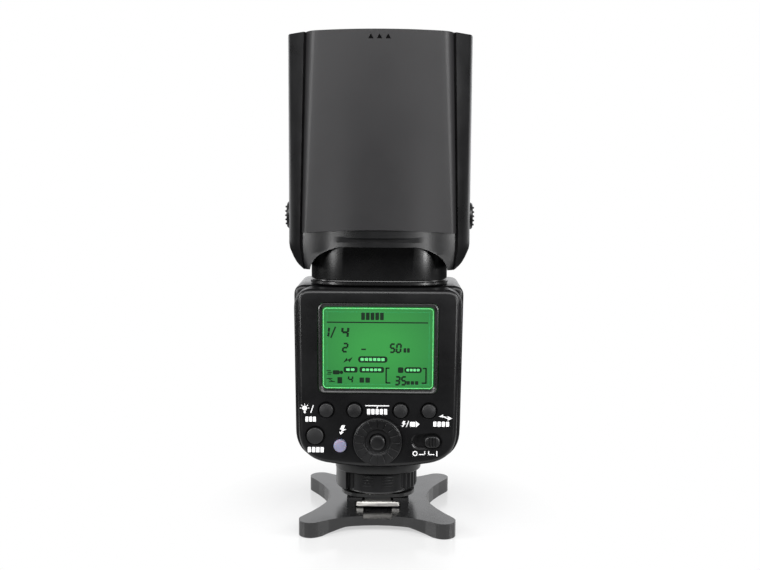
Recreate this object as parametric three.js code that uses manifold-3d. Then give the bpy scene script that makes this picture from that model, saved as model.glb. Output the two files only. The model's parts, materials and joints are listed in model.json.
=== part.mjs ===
// A shoe-mount flash standing in its small four-legged stand, head pointing straight up.
// Millimetres. +Z is up, the control panel faces -Y, the origin is on the table under the middle.
import * as THREE from "three";
import { mergeVertices } from "three/addons/utils/BufferGeometryUtils.js";
import Module from "manifold-3d";

const wasm = await Module();
wasm.setup();

// ---------------------------------------------------------------- driving dimensions
const GAP = 0.3; // running and assembly clearance between neighbours
const FLASH_SHIFT = -2; // the flash stands a little behind the middle of the stand

// Stand
const FOOT_X = 27;
const FOOT_Y = 28;
const FOOT_RADIUS = 5;
const STAND_WAIST = 20.9; // half width half way between front and back legs
const STAND_FRONT = 24; // half depth at the middle of the front edge
const SLOT_FLOOR = 6.3; // ledges that carry the shoe
const CHANNEL_FLOOR = 5.0; // relief under the contacts, open towards -Y
const ARCH_HEIGHT = 2.2;
const INSERT_RADIUS = 4.2;
const INSERT_BORE = 2.9; // core of a quarter inch thread

// Shoe, locking plate and ring
const SHOE_SIZE = 18.6;
const SHOE_BOTTOM = 6.6;
const SHOE_TOP = 8.6;
const SHOE_FRONT = -12; // end of the shoe plate nearest the control panel side
const STEM_WIDTH = 12.4;
const STEM_TOP = 12.6;
const LIP_BOTTOM = 8.9;
const LIP_TOP = 10.4;
const LOCK_PLATE_BOTTOM = 11.1;
const LOCK_PLATE_TOP = 12.5;
const RING_BOTTOM = 12.9;
const RING_TOP = 21.6;
const RING_RADIUS = 16.6;
const BOSS_RADIUS = 10.9;
const BLOCK_BOTTOM = 22;
const BLOCK_TOP = 27.2;
const BLOCK_WIDTH = 36.4;
const BLOCK_DEPTH = 34;
const BLOCK_CORNER = 13;
const GUARD_TURN = [150, 220]; // the guard covers these degrees of the ring
const GUARD_BOTTOM = 14;

// Body
const BODY_BOTTOM = 27.5;
const BODY_TOP = 101;
const BODY_HALF_TOP = 34.7;
const BODY_HALF_LOW = 34.1;
const SHOULDER = 4; // radius of the upper corners
const REAR_SHOULDER = 8; // the same behind the step
const COVER_SHOULDER = 5.5;
const LOW_CORNER_Z = 43; // the sides are straight above this height
const BODY_STEP_Y = -15; // the stretch behind this depth is narrower
const STEP_INSET = 0.7;
const COVER_INSET = 2.3;
const BODY_REAR = -22;
const BODY_FRONT = 25;
const WALL = 2;
const COVER_REAR = -25.5;
const COVER_FRONT = BODY_REAR - GAP;

// Controls, as places on the rear cover (x, z)
const LCD = { z: 76.8, bezelWidth: 48, bezelHeight: 36.5, width: 44.2, height: 32.7 };
const BUTTON_ROW = { z: 51.5, xs: [-20.8, -9.4, 9.2, 20.6], radius: 2.8 };
const MODE_BUTTON = { x: -25.3, z: 40.9, radius: 3.36 };
const PILOT_BUTTON = { x: -15.2, z: 36.8, radius: 2.6 };
const DIAL = { z: 39, radius: 9.8, hub: 5.2, setRadius: 3 };
const SWITCH = { x: 19.9, z: 38.9, slotWidth: 11.1, slotHeight: 5.4, knobWidth: 6.2 };
const BUTTON_FACE = -26.3;
const PAST_FACE = -30; // cutters for the cover's openings run between these depths
const PAST_COVER = -20;
const KEY_FOOT = -21.5;

// Battery chamber
const CELL_RADIUS = 7.25;
const CELL_LENGTH = 49.2;
const CELL_LEFT = -26;
const CELLS = [
  { y: -3, z: 42.2 },
  { y: 12, z: 42.2 },
  { y: -3, z: 57.2 },
  { y: 12, z: 57.2 },
];
const DOOR_PIVOT = { x: 32.6, z: 66, radius: 1.8 };
const DOOR_Y = [-11, 20];
const DOOR_INNER_X = 25;
const DOOR_PIN_RADIUS = 0.8;

// Neck and tilt pivot
const PIVOT_Z = 129;
const DRUM_RADIUS = 22;
const DRUM_ROUND = 7; // radius that rounds the ends of the drum
const NECK_HALF = 28.3;
const NECK_BOTTOM = 101.3;
const COLLAR_BOTTOM = 103.4;
const COLLAR_FRONT = -1.5; // the collar stops here, so that the head's front wall can pass below the drum
const COLLAR_DEPTH = 39;
const STEM_RADIUS = 11.6;
const RETAINER = { radius: 15, z: [95, 97.6] };
const AXLE_RADIUS = 3;

// Head
const HEAD_TOP = 201;
const HEAD_HALF = 37.1;
const HEAD_REAR = -31;
const HEAD_FRONT = 24.5;
const CHEEK_BOTTOM = 108;
const CHEEK_INNER = 30;
const LIP_Z = 117.7;
const FRONT_LIP_Z = 131; // lower edge of the front wall between the cheeks
const CAVITY_BOTTOM = 150;
const LENS_Y = [-18.2, 22.2];
const LENS_HALF = 31;

// ---------------------------------------------------------------- shape helpers
const flash = new THREE.Group();
flash.position.y = FLASH_SHIFT;
const object = new THREE.Group();
object.add(flash);

function finish(color, roughness, metalness = 0) {
  return new THREE.MeshStandardMaterial({ color, roughness, metalness });
}

const FINISH = {
  casing: () => finish(0x17181a, 0.42),
  control: () => finish(0x1c1d1f, 0.5),
  rubber: () => finish(0x141415, 0.8),
  inner: () => finish(0x2b2c2e, 0.6),
  steel: () => finish(0xb9bcc0, 0.3, 1),
  brass: () => finish(0xb9964a, 0.35, 1),
  board: () => finish(0x1f5a35, 0.55),
  lcd: () => finish(0x2fa65a, 0.4),
  clear: () => finish(0xdfe6e8, 0.1),
  white: () => finish(0xf1f1ee, 0.5),
  lamp: () => finish(0xc3c0de, 0.35),
  red: () => finish(0x5a0b10, 0.15),
  cell: () => finish(0x3b5a7a, 0.4, 0.3),
};

function piece(name, geometry, material, parent = flash) {
  const mesh = new THREE.Mesh(geometry, material);
  mesh.name = name;
  parent.add(mesh);
  return mesh;
}

function solid(geometry) {
  const bare = geometry.index ? geometry.toNonIndexed() : geometry.clone();
  bare.deleteAttribute("normal");
  bare.deleteAttribute("uv");
  const merged = mergeVertices(bare, 1e-4);
  return new wasm.Manifold(
    new wasm.Mesh({
      numProp: 3,
      vertProperties: merged.attributes.position.array,
      triVerts: new Uint32Array(merged.index.array),
    }),
  );
}

function geometryOf(manifold) {
  const mesh = manifold.getMesh();
  const geometry = new THREE.BufferGeometry();
  geometry.setAttribute("position", new THREE.BufferAttribute(mesh.vertProperties, 3));
  geometry.setIndex(new THREE.BufferAttribute(mesh.triVerts, 1));
  geometry.computeVertexNormals();
  return geometry;
}

function cut(base, ...tools) {
  return geometryOf(tools.reduce((left, tool) => left.subtract(solid(tool)), solid(base)));
}

function join(first, ...others) {
  return geometryOf(others.reduce((left, other) => left.add(solid(other)), solid(first)));
}

function common(first, second) {
  return geometryOf(solid(first).intersect(solid(second)));
}

// A box between two corners.
function box(x0, x1, y0, y1, z0, z1) {
  const geometry = new THREE.BoxGeometry(x1 - x0, y1 - y0, z1 - z0);
  return geometry.translate((x0 + x1) / 2, (y0 + y1) / 2, (z0 + z1) / 2);
}

// A flat shape drawn in the plane across an axis, drawn out from one place on that axis to another.
// Across x the shape is (y, z), across y it is (x, z), across z it is (x, y).
function prism(axis, shape, from, to, segments = 3) {
  const options = { depth: to - from, bevelEnabled: false, curveSegments: segments };
  const geometry = new THREE.ExtrudeGeometry(shape, options);
  if (axis === "x") {
    const turn = new THREE.Matrix4().makeBasis(
      new THREE.Vector3(0, 1, 0),
      new THREE.Vector3(0, 0, 1),
      new THREE.Vector3(1, 0, 0),
    );
    return geometry.applyMatrix4(turn).translate(from, 0, 0);
  }
  if (axis === "y") return geometry.rotateX(Math.PI / 2).translate(0, to, 0);
  return geometry.translate(0, 0, from);
}

function disc(radius, cx = 0, cy = 0) {
  const shape = new THREE.Shape();
  shape.absarc(cx, cy, radius, 0, 2 * Math.PI, false);
  return shape;
}

// A round bar along an axis; a and b are its centre in the plane across that axis.
function rod(axis, radius, from, to, a = 0, b = 0, segments = 12) {
  return prism(axis, disc(radius, a, b), from, to, segments);
}

function roundedRect(width, height, radius, cx = 0, cy = 0) {
  const shape = new THREE.Shape();
  const x = width / 2 - radius;
  const y = height / 2 - radius;
  shape.absarc(cx + x, cy + y, radius, 0, Math.PI / 2, false);
  shape.absarc(cx - x, cy + y, radius, Math.PI / 2, Math.PI, false);
  shape.absarc(cx - x, cy - y, radius, Math.PI, 1.5 * Math.PI, false);
  shape.absarc(cx + x, cy - y, radius, 1.5 * Math.PI, 2 * Math.PI, false);
  return shape;
}

function polygon(points) {
  return new THREE.Shape(points.map(([x, y]) => new THREE.Vector2(x, y)));
}

// ---------------------------------------------------------------- stand
// One quarter of the outline: from the middle of one edge round a foot to the waist, then mirrored.
function standOutline() {
  const start = THREE.MathUtils.degToRad(-129);
  const end = THREE.MathUtils.degToRad(36);
  const bend = 0.52;
  const half = new THREE.Path();
  half.moveTo(0, -STAND_FRONT);
  half.quadraticCurveTo(
    FOOT_X * bend,
    -STAND_FRONT,
    FOOT_X + FOOT_RADIUS * Math.cos(start),
    -FOOT_Y + FOOT_RADIUS * Math.sin(start),
  );
  half.absarc(FOOT_X, -FOOT_Y, FOOT_RADIUS, start, end, false);
  half.quadraticCurveTo(STAND_WAIST, -FOOT_Y * 0.36, STAND_WAIST, 0);
  const quarter = half.getPoints(5);
  const right = [...quarter, ...quarter.map((p) => new THREE.Vector2(p.x, -p.y)).reverse()];
  const left = right.map((p) => new THREE.Vector2(-p.x, p.y)).reverse();
  const all = [...right, ...left];
  return new THREE.Shape(all.filter((p, i) => p.distanceTo(all[(i + 1) % all.length]) > 0.01));
}

const ARCH_FLAT = 13;
const ARCH_END = 22.5;
const RAIL = { half: 13, z: 3, behindSlot: 2.5 };
const STAND_CHANNEL_HALF = 6;
const INSERT_BOSS = { radius: 9, z: [1, 4] };

function standBase() {
  const slotHalf = SHOE_SIZE / 2 + GAP;
  const slotY = [SHOE_FRONT + FLASH_SHIFT, SHOE_FRONT + SHOE_SIZE + GAP + FLASH_SHIFT];
  const lipHalf = STEM_WIDTH / 2 + 0.4;
  const plate = prism("z", standOutline(), 0, SLOT_FLOOR);
  const rails = box(-RAIL.half, RAIL.half, slotY[0], slotY[1] + RAIL.behindSlot, RAIL.z, LIP_TOP);
  const slot = box(-slotHalf, slotHalf, -40, slotY[1], SLOT_FLOOR, LIP_BOTTOM);
  const mouth = box(-lipHalf, lipHalf, -40, slotY[1], SLOT_FLOOR, LIP_TOP + 1);
  const channel = box(
    -STAND_CHANNEL_HALF,
    STAND_CHANNEL_HALF,
    -40,
    slotY[1],
    CHANNEL_FLOOR,
    LIP_TOP + 1,
  );
  const arch = polygon([
    [-ARCH_END - 1, -1],
    [-ARCH_END, 0],
    [-ARCH_FLAT, ARCH_HEIGHT],
    [ARCH_FLAT, ARCH_HEIGHT],
    [ARCH_END, 0],
    [ARCH_END + 1, -1],
  ]);
  const hollow = prism("y", arch, -40, 40);
  const boss = rod("z", INSERT_BOSS.radius, ...INSERT_BOSS.z);
  const insertHole = rod("z", INSERT_RADIUS + GAP, -1, 4.4);
  return cut(join(cut(join(plate, rails), slot, mouth, channel, hollow), boss), insertHole);
}

function threadInsert() {
  return cut(rod("z", INSERT_RADIUS, 1.2, 4.1), rod("z", INSERT_BORE, 0, 3.4));
}

// ---------------------------------------------------------------- shoe and lock
const SHOE_MIDDLE = SHOE_FRONT + SHOE_SIZE / 2;
const SCREW_PLACES = [
  [-4.4, SHOE_MIDDLE - 5.6],
  [4.4, SHOE_MIDDLE - 5.6],
  [-4.4, SHOE_MIDDLE + 5.6],
  [4.4, SHOE_MIDDLE + 5.6],
];
const SCREW = { radius: 0.9, head: 1.5 };
const LOCK_PIN = { x: 0, y: SHOE_MIDDLE + 6.4, radius: 0.9 };
const STEM_DEPTH = 15;
const POCKET = { halfX: 3, halfY: 4.5, bottom: 6, top: 10 };

function shoePlate() {
  const plate = prism("z", roundedRect(SHOE_SIZE, SHOE_SIZE, 1, 0, SHOE_MIDDLE), SHOE_BOTTOM, SHOE_TOP, 1);
  const stemShape = roundedRect(STEM_WIDTH, STEM_DEPTH, 1, 0, SHOE_MIDDLE);
  const stem = prism("z", stemShape, SHOE_TOP - 0.2, STEM_TOP, 1);
  const { halfX, halfY, bottom, top } = POCKET;
  const pocket = box(-halfX, halfX, SHOE_MIDDLE - halfY, SHOE_MIDDLE + halfY, bottom, top);
  const screwHoles = SCREW_PLACES.flatMap(([x, y]) => [
    rod("z", SCREW.radius + GAP, 6, 13, x, y, 5),
    rod("z", SCREW.head + GAP, 6, 8, x, y, 6),
  ]);
  const pinHole = rod("z", LOCK_PIN.radius + GAP, 6, 13, LOCK_PIN.x, LOCK_PIN.y, 5);
  return cut(join(plate, stem), pocket, pinHole, ...screwHoles);
}

function footScrew([x, y]) {
  return join(rod("z", SCREW.radius, 7, 16, x, y, 5), rod("z", SCREW.head, 6.9, 7.7, x, y, 6));
}

// The insulating block under the shoe, with its five contact pins standing out of it.
function contactBlock() {
  const halfX = POCKET.halfX - GAP;
  const halfY = POCKET.halfY - GAP;
  const pin = { x: 1.6, y: 2.8, radius: 0.6 };
  const corners = [-1, 1].flatMap((end) => [-1, 1].map((side) => [side * pin.x, end * pin.y]));
  const block = box(-halfX, halfX, SHOE_MIDDLE - halfY, SHOE_MIDDLE + halfY, 6.9, 9.7);
  const pins = [[0, 0], ...corners].map(([x, y]) => rod("z", pin.radius, 6.4, 7.2, x, SHOE_MIDDLE + y, 4));
  return join(block, ...pins);
}

function lockPlate() {
  const plate = prism("z", roundedRect(31, 26, 9), LOCK_PLATE_BOTTOM, LOCK_PLATE_TOP, 3);
  const opening = roundedRect(STEM_WIDTH + 2 * GAP, STEM_DEPTH + 2 * GAP, 1, 0, SHOE_MIDDLE);
  return cut(plate, prism("z", opening, 10, 14, 1));
}

// The ring is ribbed on both sides and smooth at the front and back, where it carries finger grooves.
function lockRing() {
  const ribs = 64;
  const ribDepth = 0.9;
  const outline = [];
  for (let i = 0; i < 2 * ribs; i++) {
    const angle = (i / (2 * ribs)) * 2 * Math.PI;
    const ribbed = Math.abs(Math.cos(angle)) > 0.5;
    const radius = ribbed && i % 4 < 2 ? RING_RADIUS - ribDepth : RING_RADIUS;
    outline.push([radius * Math.cos(angle), radius * Math.sin(angle)]);
  }
  const shape = polygon(outline);
  shape.holes.push(disc(BOSS_RADIUS + 0.4));
  return prism("z", shape, RING_BOTTOM, RING_TOP, 12);
}

function lockPin() {
  return rod("z", LOCK_PIN.radius, 6.7, 12.7, LOCK_PIN.x, LOCK_PIN.y, 6);
}

// The block under the body, with the threaded boss that the ring turns on and a guard on its left.
function footBlock() {
  const block = prism("z", roundedRect(BLOCK_WIDTH, BLOCK_DEPTH, BLOCK_CORNER), BLOCK_BOTTOM, BLOCK_TOP, 4);
  const boss = rod("z", BOSS_RADIUS, RING_BOTTOM, BLOCK_BOTTOM + 1);
  const guard = new THREE.Shape();
  const [start, end] = GUARD_TURN.map(THREE.MathUtils.degToRad);
  guard.absarc(0, 0, BLOCK_WIDTH / 2, start, end, false);
  guard.absarc(0, 0, RING_RADIUS + 0.5, end, start, true);
  const skirt = prism("z", guard, GUARD_BOTTOM, BLOCK_BOTTOM + 1, 6);
  const screwHoles = SCREW_PLACES.map(([x, y]) => rod("z", SCREW.radius + GAP, 12, 17, x, y, 5));
  const pinHole = rod("z", LOCK_PIN.radius + GAP, 12, 14, LOCK_PIN.x, LOCK_PIN.y, 5);
  return cut(join(block, boss, skirt), pinHole, ...screwHoles);
}

// ---------------------------------------------------------------- body
// The outline seen from behind: round shoulders, sides drawn in downwards, large lower corners.
// The sides move inwards by inset; the top and the bottom by endInset.
function bodyOutline(inset = 0, endInset = inset, corner = SHOULDER) {
  const top = BODY_TOP - endInset;
  const low = BODY_BOTTOM + endInset;
  const wide = BODY_HALF_TOP - inset;
  const narrow = BODY_HALF_LOW - inset;
  const shape = new THREE.Shape();
  shape.moveTo(0, low);
  shape.quadraticCurveTo(11, low, 19, low + 1.3);
  shape.quadraticCurveTo(narrow + 0.2, low + 2.7, narrow, LOW_CORNER_Z);
  shape.lineTo(wide, top - corner);
  shape.quadraticCurveTo(wide, top, wide - corner, top);
  shape.lineTo(-wide + corner, top);
  shape.quadraticCurveTo(-wide, top, -wide, top - corner);
  shape.lineTo(-narrow, LOW_CORNER_Z);
  shape.quadraticCurveTo(-narrow - 0.2, low + 2.7, -19, low + 1.3);
  shape.quadraticCurveTo(-11, low, 0, low);
  return shape;
}

// The skin of the body between two depths, used for the shell, the door and the socket cover.
function bodySkin(thickness, from, to) {
  const outer = prism("y", bodyOutline(), from, to, 4);
  return cut(outer, prism("y", bodyOutline(thickness), from - 1, to + 1, 4));
}

const PORT = { y: [-8, 6], z: [46, 74] };
const AF_WINDOW = { z: 52, width: 40, height: 22, corner: 3.8 };

function bodyShell() {
  const wide = prism("y", bodyOutline(), BODY_STEP_Y, BODY_FRONT, 4);
  const narrow = prism("y", bodyOutline(STEP_INSET, 0.3, REAR_SHOULDER), BODY_REAR, BODY_STEP_Y + 1, 4);
  const outer = join(wide, narrow);
  const hollow = prism("y", bodyOutline(WALL + STEP_INSET, WALL), BODY_REAR - 1, BODY_FRONT - WALL, 4);
  const swivelHole = rod("z", STEM_RADIUS + 0.4, 90, 105);
  const { width, height, corner, z } = AF_WINDOW;
  const windowShape = roundedRect(width + 0.6, height + 0.6, corner + 0.2, 0, z);
  const windowHole = prism("y", windowShape, 20, 30);
  const hatch = box(
    DOOR_INNER_X - GAP,
    40,
    DOOR_Y[0] - GAP,
    DOOR_Y[1] + GAP,
    20,
    DOOR_PIVOT.z + DOOR_PIVOT.radius + GAP,
  );
  const port = box(-40, -28, PORT.y[0] - GAP, PORT.y[1] + GAP, PORT.z[0] - GAP, PORT.z[1] + GAP);
  return cut(outer, hollow, swivelHole, windowHole, hatch, port);
}

function rearCover() {
  const outline = bodyOutline(COVER_INSET, 0.5, COVER_SHOULDER);
  const plate = prism("y", outline, COVER_REAR, COVER_FRONT, 4);
  const lcdOutline = roundedRect(LCD.bezelWidth + 0.6, LCD.bezelHeight + 0.6, 3, 0, LCD.z);
  const lcdHole = prism("y", lcdOutline, PAST_FACE, PAST_COVER, 2);
  const buttons = [
    ...BUTTON_ROW.xs.map((x) => ({ x, z: BUTTON_ROW.z, radius: BUTTON_ROW.radius })),
    MODE_BUTTON,
    PILOT_BUTTON,
  ];
  const buttonHoles = buttons.map(({ x, z, radius }) =>
    rod("y", radius + GAP, PAST_FACE, PAST_COVER, x, z, 8),
  );
  const dialHole = rod("y", DIAL.hub + 0.4, PAST_FACE, PAST_COVER, 0, DIAL.z);
  const slotRadius = SWITCH.slotHeight / 2 - 0.01;
  const slot = roundedRect(SWITCH.slotWidth, SWITCH.slotHeight, slotRadius, SWITCH.x, SWITCH.z);
  return cut(plate, lcdHole, dialHole, prism("y", slot, PAST_FACE, PAST_COVER, 4), ...buttonHoles);
}

function lcdBezel() {
  const shape = roundedRect(LCD.bezelWidth, LCD.bezelHeight, 2.7, 0, LCD.z);
  shape.holes.push(roundedRect(LCD.width + 0.6, LCD.height + 0.6, 1.8, 0, LCD.z));
  return prism("y", shape, -25.8, -22.7, 2);
}

function lcdWindow() {
  return prism("y", roundedRect(LCD.width, LCD.height, 1.5, 0, LCD.z), -24.9, -23.9, 2);
}

function lcdModule() {
  return prism("y", roundedRect(47, 36, 1, 0, LCD.z), -22.4, -19.4, 1);
}

// A round key with a flange that keeps it behind the cover.
function key({ x, z, radius }, face = BUTTON_FACE) {
  const cap = rod("y", radius, face, KEY_FOOT, x, z, 8);
  return join(cap, rod("y", radius + 0.8, -21.9, -21.1, x, z, 8));
}

function selectDial() {
  const ribs = 20;
  const outline = [];
  for (let i = 0; i < 4 * ribs; i++) {
    const angle = (i / (4 * ribs)) * 2 * Math.PI;
    const radius = i % 4 < 2 ? DIAL.radius : DIAL.radius - 0.5;
    outline.push([radius * Math.cos(angle), DIAL.z + radius * Math.sin(angle)]);
  }
  const wheel = prism("y", polygon(outline), -28.2, -25.8);
  const hub = rod("y", DIAL.hub, -26, KEY_FOOT, 0, DIAL.z, 10);
  return cut(join(wheel, hub), rod("y", DIAL.setRadius + 0.4, PAST_FACE, PAST_COVER, 0, DIAL.z, 8));
}

function setButton() {
  const cap = rod("y", DIAL.setRadius, -28.8, -20.9, 0, DIAL.z, 8);
  return join(cap, rod("y", 4.4, -21.1, -20.4, 0, DIAL.z, 8));
}

const SWITCH_ON_X = SWITCH.x + (SWITCH.slotWidth - SWITCH.knobWidth) / 2 - 0.25;

function powerSwitch() {
  const height = SWITCH.slotHeight - 0.8;
  const knob = roundedRect(SWITCH.knobWidth, height, height / 2 - 0.01, SWITCH_ON_X, SWITCH.z);
  const base = roundedRect(9, 7.4, 1, SWITCH_ON_X, SWITCH.z);
  return join(prism("y", knob, -26.6, KEY_FOOT, 3), prism("y", base, -22, -20.9, 1));
}

function mainBoard() {
  return prism("y", roundedRect(56, 54, 2, 0, 66), -18.9, -17.3, 1);
}

function batteryBox() {
  const outer = box(-28.9, 24.6, -11.5, 20.4, 33.9, 65.4);
  const middle = { y: (CELLS[0].y + CELLS[1].y) / 2, z: (CELLS[0].z + CELLS[2].z) / 2 };
  const room = 30.3; // two cells side by side
  const inner = prism("x", roundedRect(room, room, 7, middle.y, middle.z), -27.6, 30, 3);
  const bay = bodyOutline(WALL + STEP_INSET + GAP, WALL + GAP);
  const corners = common(outer, prism("y", bay, -12, 21, 4));
  return cut(corners, inner);
}

function batteryCell({ y, z }) {
  const body = rod("x", CELL_RADIUS, CELL_LEFT, CELL_LEFT + CELL_LENGTH, y, z, 10);
  return join(body, rod("x", 2.7, CELL_LEFT + CELL_LENGTH - 0.5, CELL_LEFT + CELL_LENGTH + 1.2, y, z, 6));
}

function contactStrip() {
  return box(-27.2, -26.4, -8, 17, 37, 62.5);
}

// The door is a stretch of the body's skin, hung from a pin along its top edge.
function batteryDoor() {
  const { x, z, radius } = DOOR_PIVOT;
  const region = box(DOOR_INNER_X, 40, DOOR_Y[0], DOOR_Y[1], 20, 64);
  const skin = common(bodySkin(1.8, -15, 22), region);
  const knuckleY = [DOOR_Y[0] + 3, DOOR_Y[1] - 3];
  const knuckle = rod("y", radius, knuckleY[0], knuckleY[1], x, z, 8);
  const web = box(x - 0.6, x + 1.45, knuckleY[0], knuckleY[1], 62, z);
  return cut(join(skin, web, knuckle), rod("y", DOOR_PIN_RADIUS + GAP, -20, 30, x, z, 6));
}

function doorHingePin() {
  return rod("y", DOOR_PIN_RADIUS, DOOR_Y[0] + 0.4, DOOR_Y[1] - 0.4, DOOR_PIVOT.x, DOOR_PIVOT.z, 6);
}

// The slider carries the pin, and lets the door move down before it swings out.
function doorSlider() {
  const { x, z } = DOOR_PIVOT;
  const bar = box(27.2, 29.2, DOOR_Y[0], DOOR_Y[1], z - 1.5, z + 1.5);
  const ears = [
    [DOOR_Y[0], DOOR_Y[0] + 2.6],
    [DOOR_Y[1] - 2.6, DOOR_Y[1]],
  ].map(([from, to]) => join(box(28, x, from, to, z - 1.5, z + 1.5), rod("y", 1.5, from, to, x, z, 8)));
  return cut(join(bar, ...ears), rod("y", DOOR_PIN_RADIUS + GAP, -20, 30, x, z, 6));
}

function doorContacts() {
  return box(25.6, 26.3, -8, 17, 37, 61.5);
}

function capacitor() {
  const radius = 11;
  const half = 26;
  const points = [
    [0, -half],
    [radius - 1, -half],
    [radius, -half + 1],
    [radius, half - 2.5],
    [radius - 0.8, half - 2],
    [radius, half - 1.5],
    [radius - 1, half],
    [0, half],
  ].map(([r, h]) => new THREE.Vector2(r, h));
  return new THREE.LatheGeometry(points, 20).rotateZ(-Math.PI / 2).translate(0, 6, 77.8);
}

function afWindow() {
  const { width, height, corner, z } = AF_WINDOW;
  return prism("y", roundedRect(width, height, corner, 0, z), BODY_FRONT - 2.6, BODY_FRONT + 1.2, 3);
}

function afLamp() {
  const lamp = rod("y", 3, 20.8, 22, 0, AF_WINDOW.z, 8);
  return join(lamp, box(-6, 6, 20.8, 21.3, AF_WINDOW.z - 5, AF_WINDOW.z + 5));
}

function portCover() {
  return common(
    bodySkin(1.5, -10, 10),
    box(-40, -25, PORT.y[0], PORT.y[1], PORT.z[0], PORT.z[1]),
  );
}

function socketBlock() {
  const block = box(-31.2, -29.2, -10, 8, 44, 76);
  const recess = (radius, z) => rod("x", radius, -32, -30, -1, z, 8);
  return cut(block, recess(1.8, 67), recess(1.9, 53));
}

// ---------------------------------------------------------------- neck
// The barrel that the head turns round: a drum about the tilt axis with rounded ends.
function neckDrum() {
  const steps = 4;
  const profile = [new THREE.Vector2(0, -NECK_HALF)];
  for (const end of [-1, 1]) {
    for (let i = 0; i <= steps; i++) {
      const turn = ((end < 0 ? i : steps - i) / steps) * (Math.PI / 2);
      const radius = DRUM_RADIUS - DRUM_ROUND * (1 - Math.sin(turn));
      profile.push(new THREE.Vector2(radius, end * (NECK_HALF - DRUM_ROUND * (1 - Math.cos(turn)))));
    }
  }
  profile.push(new THREE.Vector2(0, NECK_HALF));
  const barrel = new THREE.LatheGeometry(profile, 36).rotateZ(-Math.PI / 2).translate(0, 0, PIVOT_Z);
  return cut(barrel, box(-40, 40, -40, 40, 90, COLLAR_BOTTOM));
}

function neck() {
  const drum = neckDrum();
  const column = prism("z", roundedRect(2 * NECK_HALF, COLLAR_DEPTH, 14), COLLAR_BOTTOM, PIVOT_Z, 4);
  const collar = common(column, box(-40, 40, -40, COLLAR_FRONT, 100, PIVOT_Z));
  const flangeShape = roundedRect(2 * NECK_HALF + 0.8, COLLAR_DEPTH + 1, 14.4);
  const flange = prism("z", flangeShape, NECK_BOTTOM, COLLAR_BOTTOM, 4);
  const stem = rod("z", STEM_RADIUS, 92, NECK_BOTTOM + 1);
  const axleBore = rod("x", AXLE_RADIUS + GAP, -40, 40, 0, PIVOT_Z, 8);
  const wireBore = rod("z", 7, 90, 120, 0, 0, 8);
  return cut(join(drum, collar, flange, stem), axleBore, wireBore);
}

function swivelRetainer() {
  const shape = disc(RETAINER.radius);
  shape.holes.push(disc(STEM_RADIUS + GAP));
  return prism("z", shape, ...RETAINER.z, 10);
}

function tiltAxle() {
  return rod("x", AXLE_RADIUS, -32.9, 32.9, 0, PIVOT_Z, 8);
}

// ---------------------------------------------------------------- head
// The head seen from above: a crowned back, slanting flanks, straight sides, small front corners.
function headPlan(inset = 0) {
  const crown = 23;
  const back = HEAD_REAR + 0.6 + inset;
  const flankY = -26 + inset;
  const side = HEAD_HALF - inset;
  const sideY = -14 + inset * 0.4;
  const front = HEAD_FRONT - inset;
  const corner = 5 - inset * 0.5;
  const shape = new THREE.Shape();
  shape.moveTo(-crown, flankY);
  shape.quadraticCurveTo(0, 2 * back - flankY, crown, flankY);
  shape.lineTo(side - 1, sideY - 1.2);
  shape.lineTo(side, sideY + 0.8);
  shape.absarc(side - corner, front - corner, corner, 0, Math.PI / 2, false);
  shape.absarc(-side + corner, front - corner, corner, Math.PI / 2, Math.PI, false);
  shape.lineTo(-side, sideY + 0.8);
  shape.lineTo(-side + 1, sideY - 1.2);
  return shape;
}

// The head seen from the side: the lower front corner turns about the tilt axis to clear the body.
function headSide() {
  const sweep = 26.6;
  const drop = PIVOT_Z - CHEEK_BOTTOM;
  const shape = new THREE.Shape();
  shape.moveTo(HEAD_REAR - 1, HEAD_TOP);
  shape.lineTo(HEAD_REAR - 1, CHEEK_BOTTOM + 8);
  shape.lineTo(HEAD_REAR + 4.5, CHEEK_BOTTOM + 1.5);
  shape.lineTo(HEAD_REAR + 8, CHEEK_BOTTOM);
  const start = -Math.asin(drop / sweep);
  const end = -Math.acos(HEAD_FRONT / sweep);
  shape.absarc(0, PIVOT_Z, sweep, start, end, false);
  shape.lineTo(HEAD_FRONT + 1, PIVOT_Z);
  shape.lineTo(HEAD_FRONT + 1, HEAD_TOP);
  return shape;
}

const PANEL = { bottom: 123, halfTop: 22.9, halfLow: 29, edgeY: -24.6, innerY: -20 };

function headBlock() {
  const column = prism("z", headPlan(), 100, HEAD_TOP, 3);
  const body = common(column, prism("x", headSide(), -45, 45, 6));
  const { bottom, halfTop, halfLow, edgeY, innerY } = PANEL;
  const trapezoid = polygon([
    [-halfTop, HEAD_TOP],
    [-halfLow, bottom],
    [halfLow, bottom],
    [halfTop, HEAD_TOP],
  ]);
  const crown = new THREE.Shape();
  crown.moveTo(-halfLow, edgeY);
  crown.quadraticCurveTo(0, 2 * HEAD_REAR - edgeY, halfLow, edgeY);
  crown.lineTo(halfLow, innerY);
  crown.lineTo(-halfLow, innerY);
  const panel = common(prism("z", crown, 120, HEAD_TOP, 8), prism("y", trapezoid, -40, -10));
  return join(body, panel);
}

const RELEASE = { cap: 5.6, pocket: 6, recess: 12.2, ridgePitch: 2.2 };

function chamferTool(side) {
  const points = [
    [side * (HEAD_HALF + 1), PIVOT_Z - 10],
    [side * (HEAD_HALF - 5), CHEEK_BOTTOM - 1],
    [side * (HEAD_HALF + 1), CHEEK_BOTTOM - 1],
  ];
  return prism("y", polygon(side > 0 ? points : points.reverse()), -45, 45);
}

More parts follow.
